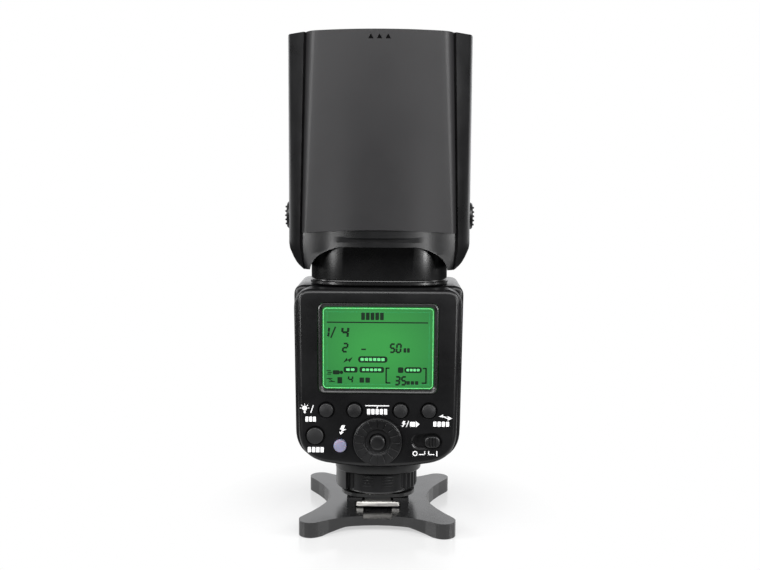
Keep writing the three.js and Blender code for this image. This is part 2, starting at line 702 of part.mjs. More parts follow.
function hollowHead() {
  const cavity = prism("z", headPlan(WALL), CAVITY_BOTTOM, HEAD_TOP + 5, 3);
  const between = box(-CHEEK_INNER, CHEEK_INNER, -29, HEAD_FRONT - WALL, 100, CAVITY_BOTTOM + 1);
  const trimmed = common(between, prism("z", headPlan(WALL), 90, 160, 3));
  const underLip = box(-CHEEK_INNER, CHEEK_INNER, -45, 45, 100, LIP_Z);
  const drumMouth = box(-CHEEK_INNER, CHEEK_INNER, 0, 45, 100, FRONT_LIP_Z);
  const groove = box(-27, 27, HEAD_REAR - 2, -29, 119.4, 121.2);
  const axleBore = rod("x", AXLE_RADIUS + GAP, -45, 45, 0, PIVOT_Z, 8);
  const sides = [-1, 1].flatMap((side) => {
    const pocket = [side * (HEAD_HALF - 4), side * (HEAD_HALF + 3)].sort((a, b) => a - b);
    const recess = [side * (HEAD_HALF - 0.8), side * (HEAD_HALF + 3)].sort((a, b) => a - b);
    return [
      chamferTool(side),
      rod("x", RELEASE.pocket, pocket[0], pocket[1], 0, PIVOT_Z, 10),
      rod("x", RELEASE.recess, recess[0], recess[1], 0, PIVOT_Z, 12),
    ];
  });
  return cut(headBlock(), cavity, trimmed, underLip, drumMouth, groove, axleBore, ...sides);
}

const HEAD = hollowHead();

function headRearShell() {
  return common(HEAD, box(-50, 50, -50, -GAP / 2, 90, 210));
}

function headFrontShell() {
  return common(HEAD, box(-50, 50, GAP / 2, 50, 90, 210));
}

function releaseButton(side) {
  const ends = [side * (HEAD_HALF - 2.4), side * (HEAD_HALF + 0.6)].sort((a, b) => a - b);
  const cap = rod("x", RELEASE.cap, ends[0], ends[1], 0, PIVOT_Z, 10);
  const ridgeEnds = [side * HEAD_HALF, side * (HEAD_HALF + 1.1)].sort((a, b) => a - b);
  const ridge = (z) => box(ridgeEnds[0], ridgeEnds[1], -3.6, 3.6, PIVOT_Z + z - 0.4, PIVOT_Z + z + 0.4);
  const ridges = [-RELEASE.ridgePitch, 0, RELEASE.ridgePitch].map(ridge);
  return join(cap, ...ridges);
}

function lensBezel() {
  const middleY = (LENS_Y[0] + LENS_Y[1]) / 2;
  const mouth = prism("z", headPlan(WALL + GAP), 196, 200.4, 3);
  const plate = common(mouth, box(-50, 50, LENS_Y[0], 50, 190, 205));
  const opening = roundedRect(2 * LENS_HALF - 4, LENS_Y[1] - LENS_Y[0] - 5, 3, 0, middleY);
  return cut(plate, prism("z", opening, 190, 205, 2));
}

function fresnelLens() {
  const middleY = (LENS_Y[0] + LENS_Y[1]) / 2;
  const outline = roundedRect(2 * LENS_HALF - 4.6, LENS_Y[1] - LENS_Y[0] - 5.6, 2.8, 0, middleY);
  return prism("z", outline, 196.6, 199.2, 2);
}

const SHEET = { low: 152.5, top: 200.4 };

function widePanel() {
  const sheet = box(-25, 25, -21.6, -20.4, SHEET.low, SHEET.top);
  return join(sheet, box(-5, 5, -22.2, -20.4, 197, SHEET.top + 0.4));
}

function bounceCard() {
  return box(-24.5, 24.5, -20, -19.2, SHEET.low, SHEET.top);
}

const TUBE_Z = 163;
const REFLECTOR_HALF = 22;

// A trough that opens towards the lens, seen from the side.
function reflectorProfile(thickness) {
  const halfMouth = 16 - thickness;
  const halfBack = 5 - thickness * 0.5;
  const back = 158.4 + thickness;
  const shape = new THREE.Shape();
  shape.moveTo(-halfMouth, 177);
  shape.quadraticCurveTo(-halfMouth + 1, 164, -halfBack, back);
  shape.lineTo(halfBack, back);
  shape.quadraticCurveTo(halfMouth - 1, 164, halfMouth, 177);
  return shape;
}

function reflector() {
  const innerHalf = REFLECTOR_HALF - 0.8;
  const outer = prism("x", reflectorProfile(0), -REFLECTOR_HALF, REFLECTOR_HALF, 5);
  const trough = prism("x", reflectorProfile(0.9), -innerHalf, innerHalf, 5);
  const inner = common(trough, box(-30, 30, -30, 30, 150, 180));
  return cut(outer, inner, rod("x", 2.2, -30, 30, 0, TUBE_Z, 6));
}

function flashTube() {
  const glass = rod("x", 1.7, -20, 20, 0, TUBE_Z, 8);
  return join(glass, rod("x", 0.8, -24, 24, 0, TUBE_Z, 5));
}

const SCREW_DRIVE = { x: 30, y: 13, core: 1.2, thread: 1.6, bottom: 163.5 };
const GUIDE_ROD = { x: -28, y: 0, radius: 1.2 };
const CARRIAGE = { half: 24.6, wall: 1.7, bottom: 156.2, floorTop: 158, wallTop: 170 };
const LUGS = [165, 169]; // heights of the nut and of the guide lug

function zoomCarriage() {
  const { half, wall, bottom, floorTop, wallTop } = CARRIAGE;
  const floor = box(-half, half, -9, 9, bottom, floorTop);
  const walls = [-1, 1].map((side) => {
    const ends = [side * (half - wall), side * half].sort((a, b) => a - b);
    return box(ends[0], ends[1], -9, side > 0 ? 16.5 : 9, bottom, wallTop);
  });
  const nut = box(24, 33, 9.8, 16.4, ...LUGS);
  const guide = box(-31, -24, -3.5, 3.5, ...LUGS);
  const tubeGap = rod("x", 2.4, -30, 30, 0, TUBE_Z, 6);
  const screwHole = rod("z", SCREW_DRIVE.thread + GAP, 160, 172, SCREW_DRIVE.x, SCREW_DRIVE.y, 6);
  const rodHole = rod("z", GUIDE_ROD.radius + GAP, 160, 172, GUIDE_ROD.x, GUIDE_ROD.y, 6);
  return cut(join(floor, ...walls, nut, guide), tubeGap, screwHole, rodHole);
}

// A lead screw: a core with shallow round threads, turned about its own axis.
function zoomScrew() {
  const { core, thread, bottom } = SCREW_DRIVE;
  const turns = 15;
  const lead = 2;
  const profile = [new THREE.Vector2(0, bottom)];
  for (let i = 0; i < turns; i++) {
    profile.push(new THREE.Vector2(core, bottom + i * lead));
    profile.push(new THREE.Vector2(thread, bottom + (i + 0.5) * lead));
  }
  profile.push(new THREE.Vector2(core, bottom + turns * lead));
  profile.push(new THREE.Vector2(0, bottom + turns * lead));
  return new THREE.LatheGeometry(profile, 8).rotateX(Math.PI / 2).translate(SCREW_DRIVE.x, SCREW_DRIVE.y, 0);
}

function zoomMotor() {
  return cut(
    rod("z", 4.6, 153.4, 163.2, SCREW_DRIVE.x, SCREW_DRIVE.y, 8),
    rod("z", 1, 162.4, 164, SCREW_DRIVE.x, SCREW_DRIVE.y, 5),
  );
}

function guideRod() {
  return rod("z", GUIDE_ROD.radius, 153, 195, GUIDE_ROD.x, GUIDE_ROD.y, 6);
}

// ---------------------------------------------------------------- assembly
piece("stand_base", standBase(), FINISH.casing(), object);
piece("thread_insert", threadInsert(), FINISH.brass(), object);

piece("shoe_plate", shoePlate(), FINISH.steel());
piece("contact_block", contactBlock(), FINISH.inner());
SCREW_PLACES.forEach((place, i) => piece("foot_screw_" + (i + 1), footScrew(place), FINISH.steel()));
piece("lock_plate", lockPlate(), FINISH.steel());
piece("lock_ring", lockRing(), FINISH.control());
piece("lock_pin", lockPin(), FINISH.steel());
piece("foot_block", footBlock(), FINISH.casing());

piece("body_shell", bodyShell(), FINISH.casing());
piece("rear_cover", rearCover(), FINISH.casing());
piece("lcd_bezel", lcdBezel(), FINISH.control());
piece("lcd_window", lcdWindow(), FINISH.clear());
piece("lcd_module", lcdModule(), FINISH.lcd());
BUTTON_ROW.xs.forEach((x, i) => {
  const place = { x, z: BUTTON_ROW.z, radius: BUTTON_ROW.radius };
  piece("row_button_" + (i + 1), key(place), FINISH.rubber());
});
piece("mode_button", key(MODE_BUTTON), FINISH.rubber());
piece("pilot_button", key(PILOT_BUTTON), FINISH.lamp());
piece("select_dial", selectDial(), FINISH.control());
piece("set_button", setButton(), FINISH.rubber());
piece("power_switch", powerSwitch(), FINISH.control());
piece("main_board", mainBoard(), FINISH.board());
piece("battery_box", batteryBox(), FINISH.inner());
CELLS.forEach((cell, i) => piece("battery_cell_" + (i + 1), batteryCell(cell), FINISH.cell()));
piece("battery_contacts", contactStrip(), FINISH.steel());
piece("battery_door", batteryDoor(), FINISH.casing());
piece("door_hinge_pin", doorHingePin(), FINISH.steel());
piece("door_slider", doorSlider(), FINISH.inner());
piece("door_contacts", doorContacts(), FINISH.steel());
piece("capacitor", capacitor(), FINISH.inner());
piece("af_window", afWindow(), FINISH.red());
piece("af_lamp", afLamp(), FINISH.lamp());
piece("port_cover", portCover(), FINISH.rubber());
piece("socket_block", socketBlock(), FINISH.inner());

piece("neck", neck(), FINISH.casing());
piece("swivel_retainer", swivelRetainer(), FINISH.steel());

piece("head_rear_shell", headRearShell(), FINISH.casing());
piece("head_front_shell", headFrontShell(), FINISH.casing());
piece("tilt_axle", tiltAxle(), FINISH.steel());
piece("release_button_left", releaseButton(-1), FINISH.control());
piece("release_button_right", releaseButton(1), FINISH.control());
piece("lens_bezel", lensBezel(), FINISH.casing());
piece("fresnel_lens", fresnelLens(), FINISH.clear());
piece("wide_panel", widePanel(), FINISH.clear());
piece("bounce_card", bounceCard(), FINISH.white());
piece("reflector", reflector(), FINISH.steel());
piece("flash_tube", flashTube(), FINISH.clear());
piece("zoom_carriage", zoomCarriage(), FINISH.inner());
piece("zoom_screw", zoomScrew(), FINISH.steel());
piece("zoom_motor", zoomMotor(), FINISH.steel());
piece("guide_rod", guideRod(), FINISH.steel());

export default object;
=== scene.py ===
"""A shoe-mount flash on its mini stand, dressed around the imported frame."""

import json
import math

import bmesh
import bpy
from mathutils import Matrix, Vector

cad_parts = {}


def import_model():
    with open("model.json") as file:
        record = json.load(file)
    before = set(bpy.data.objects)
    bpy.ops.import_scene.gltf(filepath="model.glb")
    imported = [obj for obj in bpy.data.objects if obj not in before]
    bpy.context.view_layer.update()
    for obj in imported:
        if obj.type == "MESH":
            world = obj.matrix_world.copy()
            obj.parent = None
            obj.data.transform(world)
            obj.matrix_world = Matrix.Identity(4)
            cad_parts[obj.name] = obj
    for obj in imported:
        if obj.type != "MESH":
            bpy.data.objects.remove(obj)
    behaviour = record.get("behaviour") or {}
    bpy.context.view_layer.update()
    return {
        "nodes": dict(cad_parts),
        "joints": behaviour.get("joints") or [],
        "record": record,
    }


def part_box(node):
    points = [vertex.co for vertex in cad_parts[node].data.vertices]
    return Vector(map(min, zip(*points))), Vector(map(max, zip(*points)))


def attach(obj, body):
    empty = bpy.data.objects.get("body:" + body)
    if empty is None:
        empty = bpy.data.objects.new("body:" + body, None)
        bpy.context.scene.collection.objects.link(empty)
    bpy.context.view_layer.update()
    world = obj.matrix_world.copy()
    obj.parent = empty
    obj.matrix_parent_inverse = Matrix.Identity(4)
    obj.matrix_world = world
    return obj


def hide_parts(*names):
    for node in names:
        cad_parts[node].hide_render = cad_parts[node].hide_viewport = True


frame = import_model()

MM = 0.001


# ------ places from the frame
def corners(node):
    """Lowest and highest corner of a CAD node, in millimetres."""
    low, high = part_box(node)
    return low / MM, high / MM


def joint_place(name):
    """Where a joint lies, in millimetres."""
    place = next(j for j in frame["joints"] if j["name"] == name)["pos_m"]
    return [c / MM for c in place]


AXIS_Y, PIVOT_Z = joint_place("head_tilt")[1:]


# ------ mesh tools (millimetres in)
def new_object(name, mesh):
    piece = bpy.data.objects.new(name, mesh)
    bpy.context.scene.collection.objects.link(piece)
    return piece


def mesh_from(name, vertices, faces, weld=True):
    """A mesh object from millimetre points, with its faces turned outwards."""
    mesh = bpy.data.meshes.new(name)
    mesh.from_pydata([tuple(c * MM for c in v) for v in vertices], [], faces)
    work = bmesh.new()
    work.from_mesh(mesh)
    if weld:
        bmesh.ops.remove_doubles(work, verts=work.verts, dist=1e-6)
    bmesh.ops.recalc_face_normals(work, faces=work.faces)
    work.to_mesh(mesh)
    work.free()
    return new_object(name, mesh)


def loft(name, rings, around=False):
    """Skins rings of equal length; the ends are capped unless the rings go around."""
    count = len(rings[0])
    vertices = [p for ring in rings for p in ring]
    faces = []
    last = len(rings) if around else len(rings) - 1
    for i in range(last):
        a = i * count
        b = ((i + 1) % len(rings)) * count
        for k in range(count):
            n = (k + 1) % count
            faces.append((a + k, a + n, b + n, b + k))
    if not around:
        faces.append(tuple(range(count)))
        faces.append(tuple(range(len(vertices) - count, len(vertices))))
    return mesh_from(name, vertices, faces)


def offset(points, distance):
    """Moves a closed, counter-clockwise 2-D outline inwards by distance."""
    moved = []
    count = len(points)
    for i, (x, y) in enumerate(points):
        px, py = points[i - 1]
        nx, ny = points[(i + 1) % count]
        before = Vector((x - px, y - py)).normalized()
        after = Vector((nx - x, ny - y)).normalized()
        inward = Vector((-before.y - after.y, before.x + after.x))
        if inward.length < 1e-6:
            inward = Vector((-after.y, after.x))
        inward.normalize()
        spread = max(0.5, inward.dot(Vector((-after.y, after.x))))
        moved.append((x + inward.x * distance / spread, y + inward.y * distance / spread))
    return moved


def put(axis, u, v, w):
    """A point from its place across an axis and along it: x is (y, z), y is (x, z), z is (x, y)."""
    if axis == "x":
        return (w, u, v)
    if axis == "y":
        return (u, w, v)
    return (u, v, w)


def slab(name, outline, axis, steps):
    """A solid with the outline as its section; steps are (place along the axis, inset) pairs."""
    rings = [[put(axis, u, v, w) for u, v in offset(outline, inset)] for w, inset in steps]
    return loft(name, rings)


def rounded_steps(start, end, radius_start, radius_end, segments=4):
    """Steps from start to end whose two edges are rounded off to quarter circles."""
    way = 1 if end > start else -1
    turns = [i / segments * math.pi / 2 for i in range(segments + 1)]
    steps = []
    for turn in turns if radius_start else turns[-1:]:
        steps.append((start + way * radius_start * (1 - math.cos(turn)), radius_start * (1 - math.sin(turn))))
    for turn in reversed(turns) if radius_end else turns[-1:]:
        steps.append((end - way * radius_end * (1 - math.cos(turn)), radius_end * (1 - math.sin(turn))))
    return steps


def arc(cx, cy, radius, start, end, segments):
    """Points on an arc, angles in degrees."""
    points = []
    for i in range(segments + 1):
        angle = math.radians(start + (end - start) * i / segments)
        points.append((cx + radius * math.cos(angle), cy + radius * math.sin(angle)))
    return points


def rounded_rect(width, height, radius, cx=0.0, cy=0.0, segments=6):
    x = width / 2 - radius
    y = height / 2 - radius
    return (
        arc(cx + x, cy + y, radius, 0, 90, segments)
        + arc(cx - x, cy + y, radius, 90, 180, segments)
        + arc(cx - x, cy - y, radius, 180, 270, segments)
        + arc(cx + x, cy - y, radius, 270, 360, segments)
    )


def circle(radius, cx=0.0, cy=0.0, segments=48):
    return arc(cx, cy, radius, 0, 360, segments)[:-1]


def mirrored(right):
    """A closed outline from its right half, which may start on the middle line."""
    return right + [(-x, y) for x, y in reversed(right) if x > 0]


def tube(radius, start, end):
    """The profile of a plain cylinder, for lathe."""
    return [(radius, start), (radius, end)]


def lathe(name, profile, axis, centre, segments=64, around=False):
    """Turns (radius, place along the axis) points about an axis through centre."""
    rings = []
    for radius, along in profile:
        ring = []
        for u, v in circle(max(radius, 1e-4), centre[0], centre[1], segments):
            ring.append(put(axis, u, v, along))
        rings.append(ring)
    return loft(name, rings, around)


def quad_curve(start, control, end, segments):
    points = []
    for i in range(segments + 1):
        t = i / segments
        points.append(tuple(
            (1 - t) ** 2 * start[k] + 2 * t * (1 - t) * control[k] + t * t * end[k] for k in range(2)
        ))
    return points


def apply_modifiers(piece):
    """Bakes a piece's modifiers into its mesh."""
    depsgraph = bpy.context.evaluated_depsgraph_get()
    mesh = bpy.data.meshes.new_from_object(piece.evaluated_get(depsgraph))
    piece.modifiers.clear()
    piece.data = mesh
    return piece


def boolean(piece, operation, *tools):
    for tool in tools:
        modifier = piece.modifiers.new("cut", "BOOLEAN")
        modifier.operation = operation
        modifier.solver = "EXACT"
        modifier.object = tool
    apply_modifiers(piece)
    for tool in tools:
        bpy.data.objects.remove(tool)
    return piece


def carve(piece, *tools):
    return boolean(piece, "DIFFERENCE", *tools)


def fuse(piece, *tools):
    return boolean(piece, "UNION", *tools)


def merge(name, *parts):
    """One object that holds several closed parts side by side."""
    work = bmesh.new()
    for part in parts:
        work.from_mesh(part.data)
    mesh = bpy.data.meshes.new(name)
    work.to_mesh(mesh)
    work.free()
    for part in parts:
        bpy.data.objects.remove(part)
    return new_object(name, mesh)


def box(name, x0, x1, y0, y1, z0, z1):
    outline = [(x0, y0), (x1, y0), (x1, y1), (x0, y1)]
    return slab(name, outline, "z", [(z0, 0), (z1, 0)])


def add_bevel(piece, width, segments, angle, harden=False):
    """A rounding of every edge that is sharper than angle, in degrees."""
    bevel = piece.modifiers.new("edges", "BEVEL")
    bevel.width = width * MM
    bevel.segments = segments
    bevel.limit_method = "ANGLE"
    bevel.angle_limit = math.radians(angle)
    bevel.harden_normals = harden
    return bevel


def soften(piece, width=0.3, segments=3, angle=32):
    """Rounds the sharp edges and shades the rest smoothly."""
    bevel = add_bevel(piece, width, segments, angle, True)
    bevel.miter_outer = "MITER_ARC"
    return smooth(piece, angle)


def smooth(piece, angle=32):
    """Shades smoothly, but for the edges sharper than angle, so that flat and round faces meet crisply."""
    piece.data.shade_smooth()
    work = bmesh.new()
    work.from_mesh(piece.data)
    for edge in work.edges:
        edge.smooth = not (edge.is_manifold and edge.calc_face_angle(0) > math.radians(angle))
    work.to_mesh(piece.data)
    work.free()
    return piece


# ------ materials
GRAIN_HEIGHT = 0.00004
BRUSH_HEIGHT = 0.00003


def node_material(name):
    """A new material with its node tree and its principled shader."""
    material = bpy.data.materials.new(name)
    material.use_nodes = True
    tree = material.node_tree
    return material, tree, tree.nodes["Principled BSDF"]


def wire(tree, node, values, sources):
    """Sets some of a node's sockets to values and feeds others from outputs, all by socket name."""
    for socket, value in values.items():
        node.inputs[socket].default_value = value
    for socket, source in sources.items():
        tree.links.new(source, node.inputs[socket])
    return node


def add_node(tree, kind, values=None, sources=None):
    return wire(tree, tree.nodes.new("ShaderNode" + kind), values or {}, sources or {})


def object_place(tree):
    return tree.nodes.new("ShaderNodeTexCoord").outputs["Object"]


def add_noise(tree, scale, detail=4.0, roughness=0.55, place=None):
    values = {"Scale": scale, "Detail": detail, "Roughness": roughness}
    noise = add_node(tree, "TexNoise", values, {"Vector": place or object_place(tree)})
    return noise.outputs["Fac"]


def add_range(tree, source, low, high, start=0.35, stop=0.65):
    """Maps a value between start and stop to a number between low and high."""
    values = {"From Min": start, "From Max": stop, "To Min": low, "To Max": high}
    return add_node(tree, "MapRange", values, {"Value": source}).outputs["Result"]


def add_colours(tree, source, first, second, start=0.3, stop=0.7):
    ramp = add_node(tree, "ValToRGB", {}, {"Fac": source})
    for element, place, colour in zip(ramp.color_ramp.elements, (start, stop), (first, second)):
        element.position = place
        element.color = (*colour, 1)
    return ramp.outputs["Color"]


def add_bump(tree, height, strength, distance):
    values = {"Strength": strength, "Distance": distance}
    return add_node(tree, "Bump", values, {"Height": height}).outputs["Normal"]


def scaled(colour, factor):
    return tuple(min(1.0, c * factor) for c in colour)


def moulded(name, colour, roughness, grain=2200.0, depth=0.12, spread=0.07, specular=0.5, wear=1.6):
    """Moulded plastic: fine spark-eroded grain, uneven gloss, slightly paler worn patches."""
    material, tree, shader = node_material(name)
    cloud = add_noise(tree, 55.0, 6.0, 0.65)
    wire(tree, shader, {"Specular IOR Level": specular}, {
        "Base Color": add_colours(tree, cloud, colour, scaled(colour, wear)),
        "Roughness": add_range(tree, cloud, roughness - spread, roughness + spread),
        "Normal": add_bump(tree, add_noise(tree, grain, 3.0), depth, GRAIN_HEIGHT),
    })
    return material


def metal(name, colour, roughness, stretch=(1.0, 1.0, 1.0), scale=900.0, depth=0.1):
    """Bare metal with a brushed or turned grain along one direction."""
    material, tree, shader = node_material(name)
    place = add_node(tree, "Mapping", {"Scale": stretch}, {"Vector": object_place(tree)})
    grain = add_noise(tree, scale, 5.0, 0.5, place.outputs["Vector"])
    wire(tree, shader, {"Metallic": 1.0}, {
        "Base Color": add_colours(tree, grain, scaled(colour, 0.72), colour),
        "Roughness": add_range(tree, grain, roughness * 0.7, roughness * 1.3),
        "Normal": add_bump(tree, grain, depth, BRUSH_HEIGHT),
    })
    return material


def clear_plastic(name, tint, roughness=0.05):
    """Transparent moulding with a faint haze."""
    material, tree, shader = node_material(name)
    haze = add_noise(tree, 120.0)
    wire(tree, shader, {"Transmission Weight": 0.92, "IOR": 1.49}, {
        "Roughness": add_range(tree, haze, roughness * 0.6, roughness * 1.8),
        "Base Color": add_colours(tree, haze, tint, scaled(tint, 1.04)),
    })
    return material


def lit_display(name, bright, dim):
    """Backlit liquid crystal: the light is strongest in the middle and fades to the edges."""
    material, tree, shader = node_material(name)
    low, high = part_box("lcd_window")
    reach = ((high.x - low.x) * 0.62, 1.0, (high.z - low.z) * 0.68)
    mapping = add_node(tree, "Mapping", {}, {"Vector": object_place(tree)})
    mapping.vector_type = "TEXTURE"
    wire(tree, mapping, {"Location": (low + high) / 2, "Scale": reach}, {})
    glow = add_node(tree, "TexGradient", {}, {"Vector": mapping.outputs["Vector"]})
    glow.gradient_type = "SPHERICAL"
    cells = add_noise(tree, 3500.0, 1.0)
    values = {"Emission Strength": 0.8, "Roughness": 0.35, "Coat Weight": 1.0, "Coat Roughness": 0.04}
    wire(tree, shader, values, {
        "Emission Color": add_colours(tree, glow.outputs["Fac"], dim, bright, 0.0, 0.75),
        "Base Color": add_colours(tree, cells, scaled(bright, 0.16), scaled(bright, 0.2)),
    })
    return material


def milky_lamp(name, colour, glow):
    """Milky plastic with a light behind it."""
    material, tree, shader = node_material(name)
    cloud = add_noise(tree, 500.0, 3.0)
    values = {"Subsurface Weight": 0.3, "Subsurface Scale": 0.002}
    values |= {"Emission Color": (*colour, 1), "Emission Strength": glow}
    wire(tree, shader, values, {
        "Base Color": add_colours(tree, cloud, colour, scaled(colour, 1.12)),
        "Roughness": add_range(tree, cloud, 0.28, 0.42),
    })
    return material


def banded_board(name, base, track):
    """Solder mask with copper tracks showing through as fine square bands."""
    material, tree, shader = node_material(name)
    values = {"Scale": 260.0, "Mortar Size": 0.03, "Mortar": (*track, 1)}
    values |= {"Color1": (*base, 1), "Color2": (*scaled(base, 1.3), 1)}
    brick = add_node(tree, "TexBrick", values, {"Vector": object_place(tree)})
    wire(tree, shader, {}, {
        "Base Color": brick.outputs["Color"],
        "Roughness": add_range(tree, add_noise(tree, 300.0), 0.3, 0.5),
    })
    return material


MATERIALS = {
    "casing_plastic": moulded("casing", (0.0036, 0.0036, 0.0039), 0.3, 2400, 0.12, 0.04, 0.4, 1.4),
    "panel_plastic": moulded("panel", (0.016, 0.0156, 0.0164), 0.42, 2800, 0.08, 0.03, 0.27, 1.12),
    "neck_plastic": moulded("neck_satin", (0.004, 0.004, 0.0042), 0.27, 2600, 0.06, 0.04, 0.5, 1.3),
    "stand_plastic": moulded("stand_satin", (0.0055, 0.0055, 0.0058), 0.24, 2600, 0.04, 0.05, 0.6, 1.3),
    "control_plastic": moulded("control", (0.005, 0.005, 0.0053), 0.33, 2400, 0.1),
    "soft_key": moulded("key_rubber", (0.0068, 0.0068, 0.0072), 0.42, 3000, 0.16, 0.05, 0.4),
    "inner_plastic": moulded("inner", (0.035, 0.035, 0.037), 0.5, 1800, 0.12),
    "bezel_gloss": moulded("bezel", (0.004, 0.004, 0.004), 0.28, 1500, 0.02, 0.03),
    "display_cover": lit_display("display_glass", (0.04, 0.32, 0.062), (0.021, 0.18, 0.043)),
    "display_green": lit_display("display_green", (0.06, 0.42, 0.09), (0.03, 0.2, 0.05)),
    "pilot_lamp": milky_lamp("pilot_lamp", (0.19, 0.185, 0.27), 0.03),
    "bright_steel": metal("steel", (0.66, 0.65, 0.62), 0.26, (0.12, 1.0, 1.0)),
    "black_steel": moulded("black_steel", (0.005, 0.005, 0.005), 0.3, 1800, 0.05),
    "brass": metal("brass", (0.66, 0.47, 0.18), 0.28, (1.0, 1.0, 0.15)),
    "circuit_board": banded_board("board", (0.015, 0.11, 0.035), (0.04, 0.2, 0.07)),
    "cell_wrap": moulded("cell_wrap", (0.05, 0.1, 0.19), 0.25, 600, 0.03, 0.05, 0.5, 1.2),
    "capacitor_sleeve": moulded("sleeve", (0.016, 0.017, 0.024), 0.22, 900, 0.05),
    "red_window": moulded("red_window", (0.09, 0.004, 0.006), 0.08, 500, 0.01, 0.02, 0.6, 1.3),
    "lens_clear": clear_plastic("lens", (0.93, 0.96, 0.97)),
    "card_white": moulded("card", (0.82, 0.82, 0.8), 0.55, 1500, 0.08, 0.05, 0.4, 1.04),
    "reflector_bright": metal("reflector", (0.88, 0.88, 0.89), 0.12, (0.2, 1.0, 1.0), 700.0, 0.05),
}
RING_PLASTIC = moulded("ring_plastic", (0.003, 0.003, 0.0033), 0.33, 2400, 0.1, 0.07, 0.22)
SHOE_STEEL = metal("shoe_steel", (0.92, 0.9, 0.86), 0.52, (0.12, 1.0, 1.0))
PAINT = moulded("printed_paint", (0.72, 0.72, 0.72), 0.5, 1800, 0.05, 0.05, 0.4, 1.1)
DISPLAY_RIM = milky_lamp("display_rim_light", (0.1, 0.42, 0.14), 0.6)
DISPLAY_LINE = milky_lamp("display_field_light", (0.02, 0.16, 0.045), 0.4)
# Painted shade: near-black for the plates at the bottom of the head panel's pits.
PIT_SHADE = moulded("pit_shadow", (0.0015, 0.0015, 0.0015), 0.7, 1500, 0.02, 0.05, 0.05, 1.2)
INK = moulded("display_ink", (0.004, 0.014, 0.006), 0.4, 1500, 0.02, 0.05, 0.3, 1.2)


def dress_cad():
    """Every CAD node gets its slot's material and fine rounded edges; the stand's are broader."""
    slots = {part["node"]: part["material_slot"] for part in frame["record"]["subparts"]}
    for name, node in frame["nodes"].items():
        node.data.materials.clear()
        node.data.materials.append(MATERIALS[slots[name]])
        for polygon in node.data.polygons:
            polygon.use_smooth = False
        if name == "stand_base":
            add_bevel(node, 0.7, 4, 50, True)
        else:
            add_bevel(node, 0.12, 2, 40)


def dress(piece, body, slot, *nodes, material=None):
    """Moves a piece from the tilt axis into place, gives it its material and body, and hides the CAD nodes it
    stands in for.
    """
    piece.data.transform(Matrix.Translation((0, AXIS_Y * MM, 0)))
    piece.data.materials.clear()
    piece.data.materials.append(material or MATERIALS[slot])
    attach(piece, body)
    if nodes:
        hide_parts(*nodes)


dress_cad()


# ------ head
HEAD_TOP = corners("head_rear_shell")[1].z
HEAD_HALF = corners("head_rear_shell")[1].x
HEAD_FRONT = 24.5
FRONT_CORNER = 5
FRONT_SWING = 26.6
ROUND_BELOW = 10.4
SHELL_LEVELS = [108.3, 108.9, 109.5, 110.6, 112.6, 114.6, 116, 118, 119.4, 122, 126, 140, 160, 180]
SHELL_LEVELS += [200.4, 201]
CHEEK_INNER = 28.9
# Downward lists of (level, value): how much the cheeks draw in, and how far back they may reach.
CHEEK_CORNER = [(118, 0.0), (116, 0.3), (114.6, 0.9), (112.6, 1.8), (110.6, 3.0), (109.5, 4.0), (108, 6.0)]
CHEEK_SLOPE = [(116, -32.0), (109.5, -27.5), (108, -25.0)]
GROOVE_TOP_X = 29.1
GROOVE_LOW_X = 31.0
MOUTH_HALF = 27.4
LIP_Z = 117.7
FRONT_LIP_Z = 131.0
CAVITY_BOTTOM = 150.0
SPLIT_GAP = 0.15
SKIN = 2.0
AXLE_RADIUS = 3.3
OUTSIDE = 45.0

PANEL_BOTTOM = 122.8
PANEL_ARCH = 1.7
PANEL_HALF_TOP = 24.7
PANEL_HALF_LOW = 28.6
PIT_Z = 198.0
PIT_RADIUS = 1.25
PIT_SPACING = 3.3

BUTTON_STANDS = 1.6
RIDGE_PITCH = 1.75


def crown_y(x):
    """Depth of the bowed back of the head."""
    return -31.0 + 6.4 * (x / 29.0) ** 2


def value_at(pairs, z):
    """Reads a downward list of (level, value) pairs at a height."""
    for (upper, first), (lower, second) in zip(pairs, pairs[1:]):
        if lower <= z <= upper:
            return first + (second - first) * (upper - z) / (upper - lower)
    return pairs[-1][1]


def taper(x, z):
    """Draws the cheeks in towards their lower ends."""
    if z >= CHEEK_CORNER[0][0] or abs(x) < CHEEK_INNER:
        return x
    share = (abs(x) - CHEEK_INNER) / (HEAD_HALF - CHEEK_INNER)
    half = HEAD_HALF - value_at(CHEEK_CORNER, z)
    return math.copysign(CHEEK_INNER + share * (half - CHEEK_INNER), x)


def groove_x(share):
    """Where the slanting groove beside the panel lies at a share of the panel's height."""
    return GROOVE_LOW_X + (GROOVE_TOP_X - GROOVE_LOW_X) * share


def rear_section(z, inset=0.0):
    """Half outline of the back of the head from the middle to the side: crown, groove, bowed flank, edge."""
    groove = groove_x(max(0, (z - PANEL_BOTTOM) / (HEAD_TOP - PANEL_BOTTOM)))
    half = [(x, crown_y(x) + 0.7) for x in (0, 6, 12, 18, 23)]
    half += [(groove - 3.4, -23.6), (groove - 1.2, -22.4), (groove, -21.5)]
    half += quad_curve((groove + 0.5, -22.5), (groove + 3.2, -19.8), (HEAD_HALF - 1.2, -15.9), 7)
    half += [(HEAD_HALF - 0.4, -12.8), (HEAD_HALF, -9.6)]
    return [(x - inset * x / HEAD_HALF, y + inset) for x, y in half]


def rear_ring(z, inset=0.0):
    half = rear_section(z, inset)
    right = half + [(half[-1][0], -SPLIT_GAP)]
    outline = [(-x, y) for x, y in reversed(right[1:])] + right
    limit = value_at(CHEEK_SLOPE, z) if z < CHEEK_SLOPE[0][0] else -OUTSIDE
    return [(taper(x, z), max(y, limit), z) for x, y in outline]


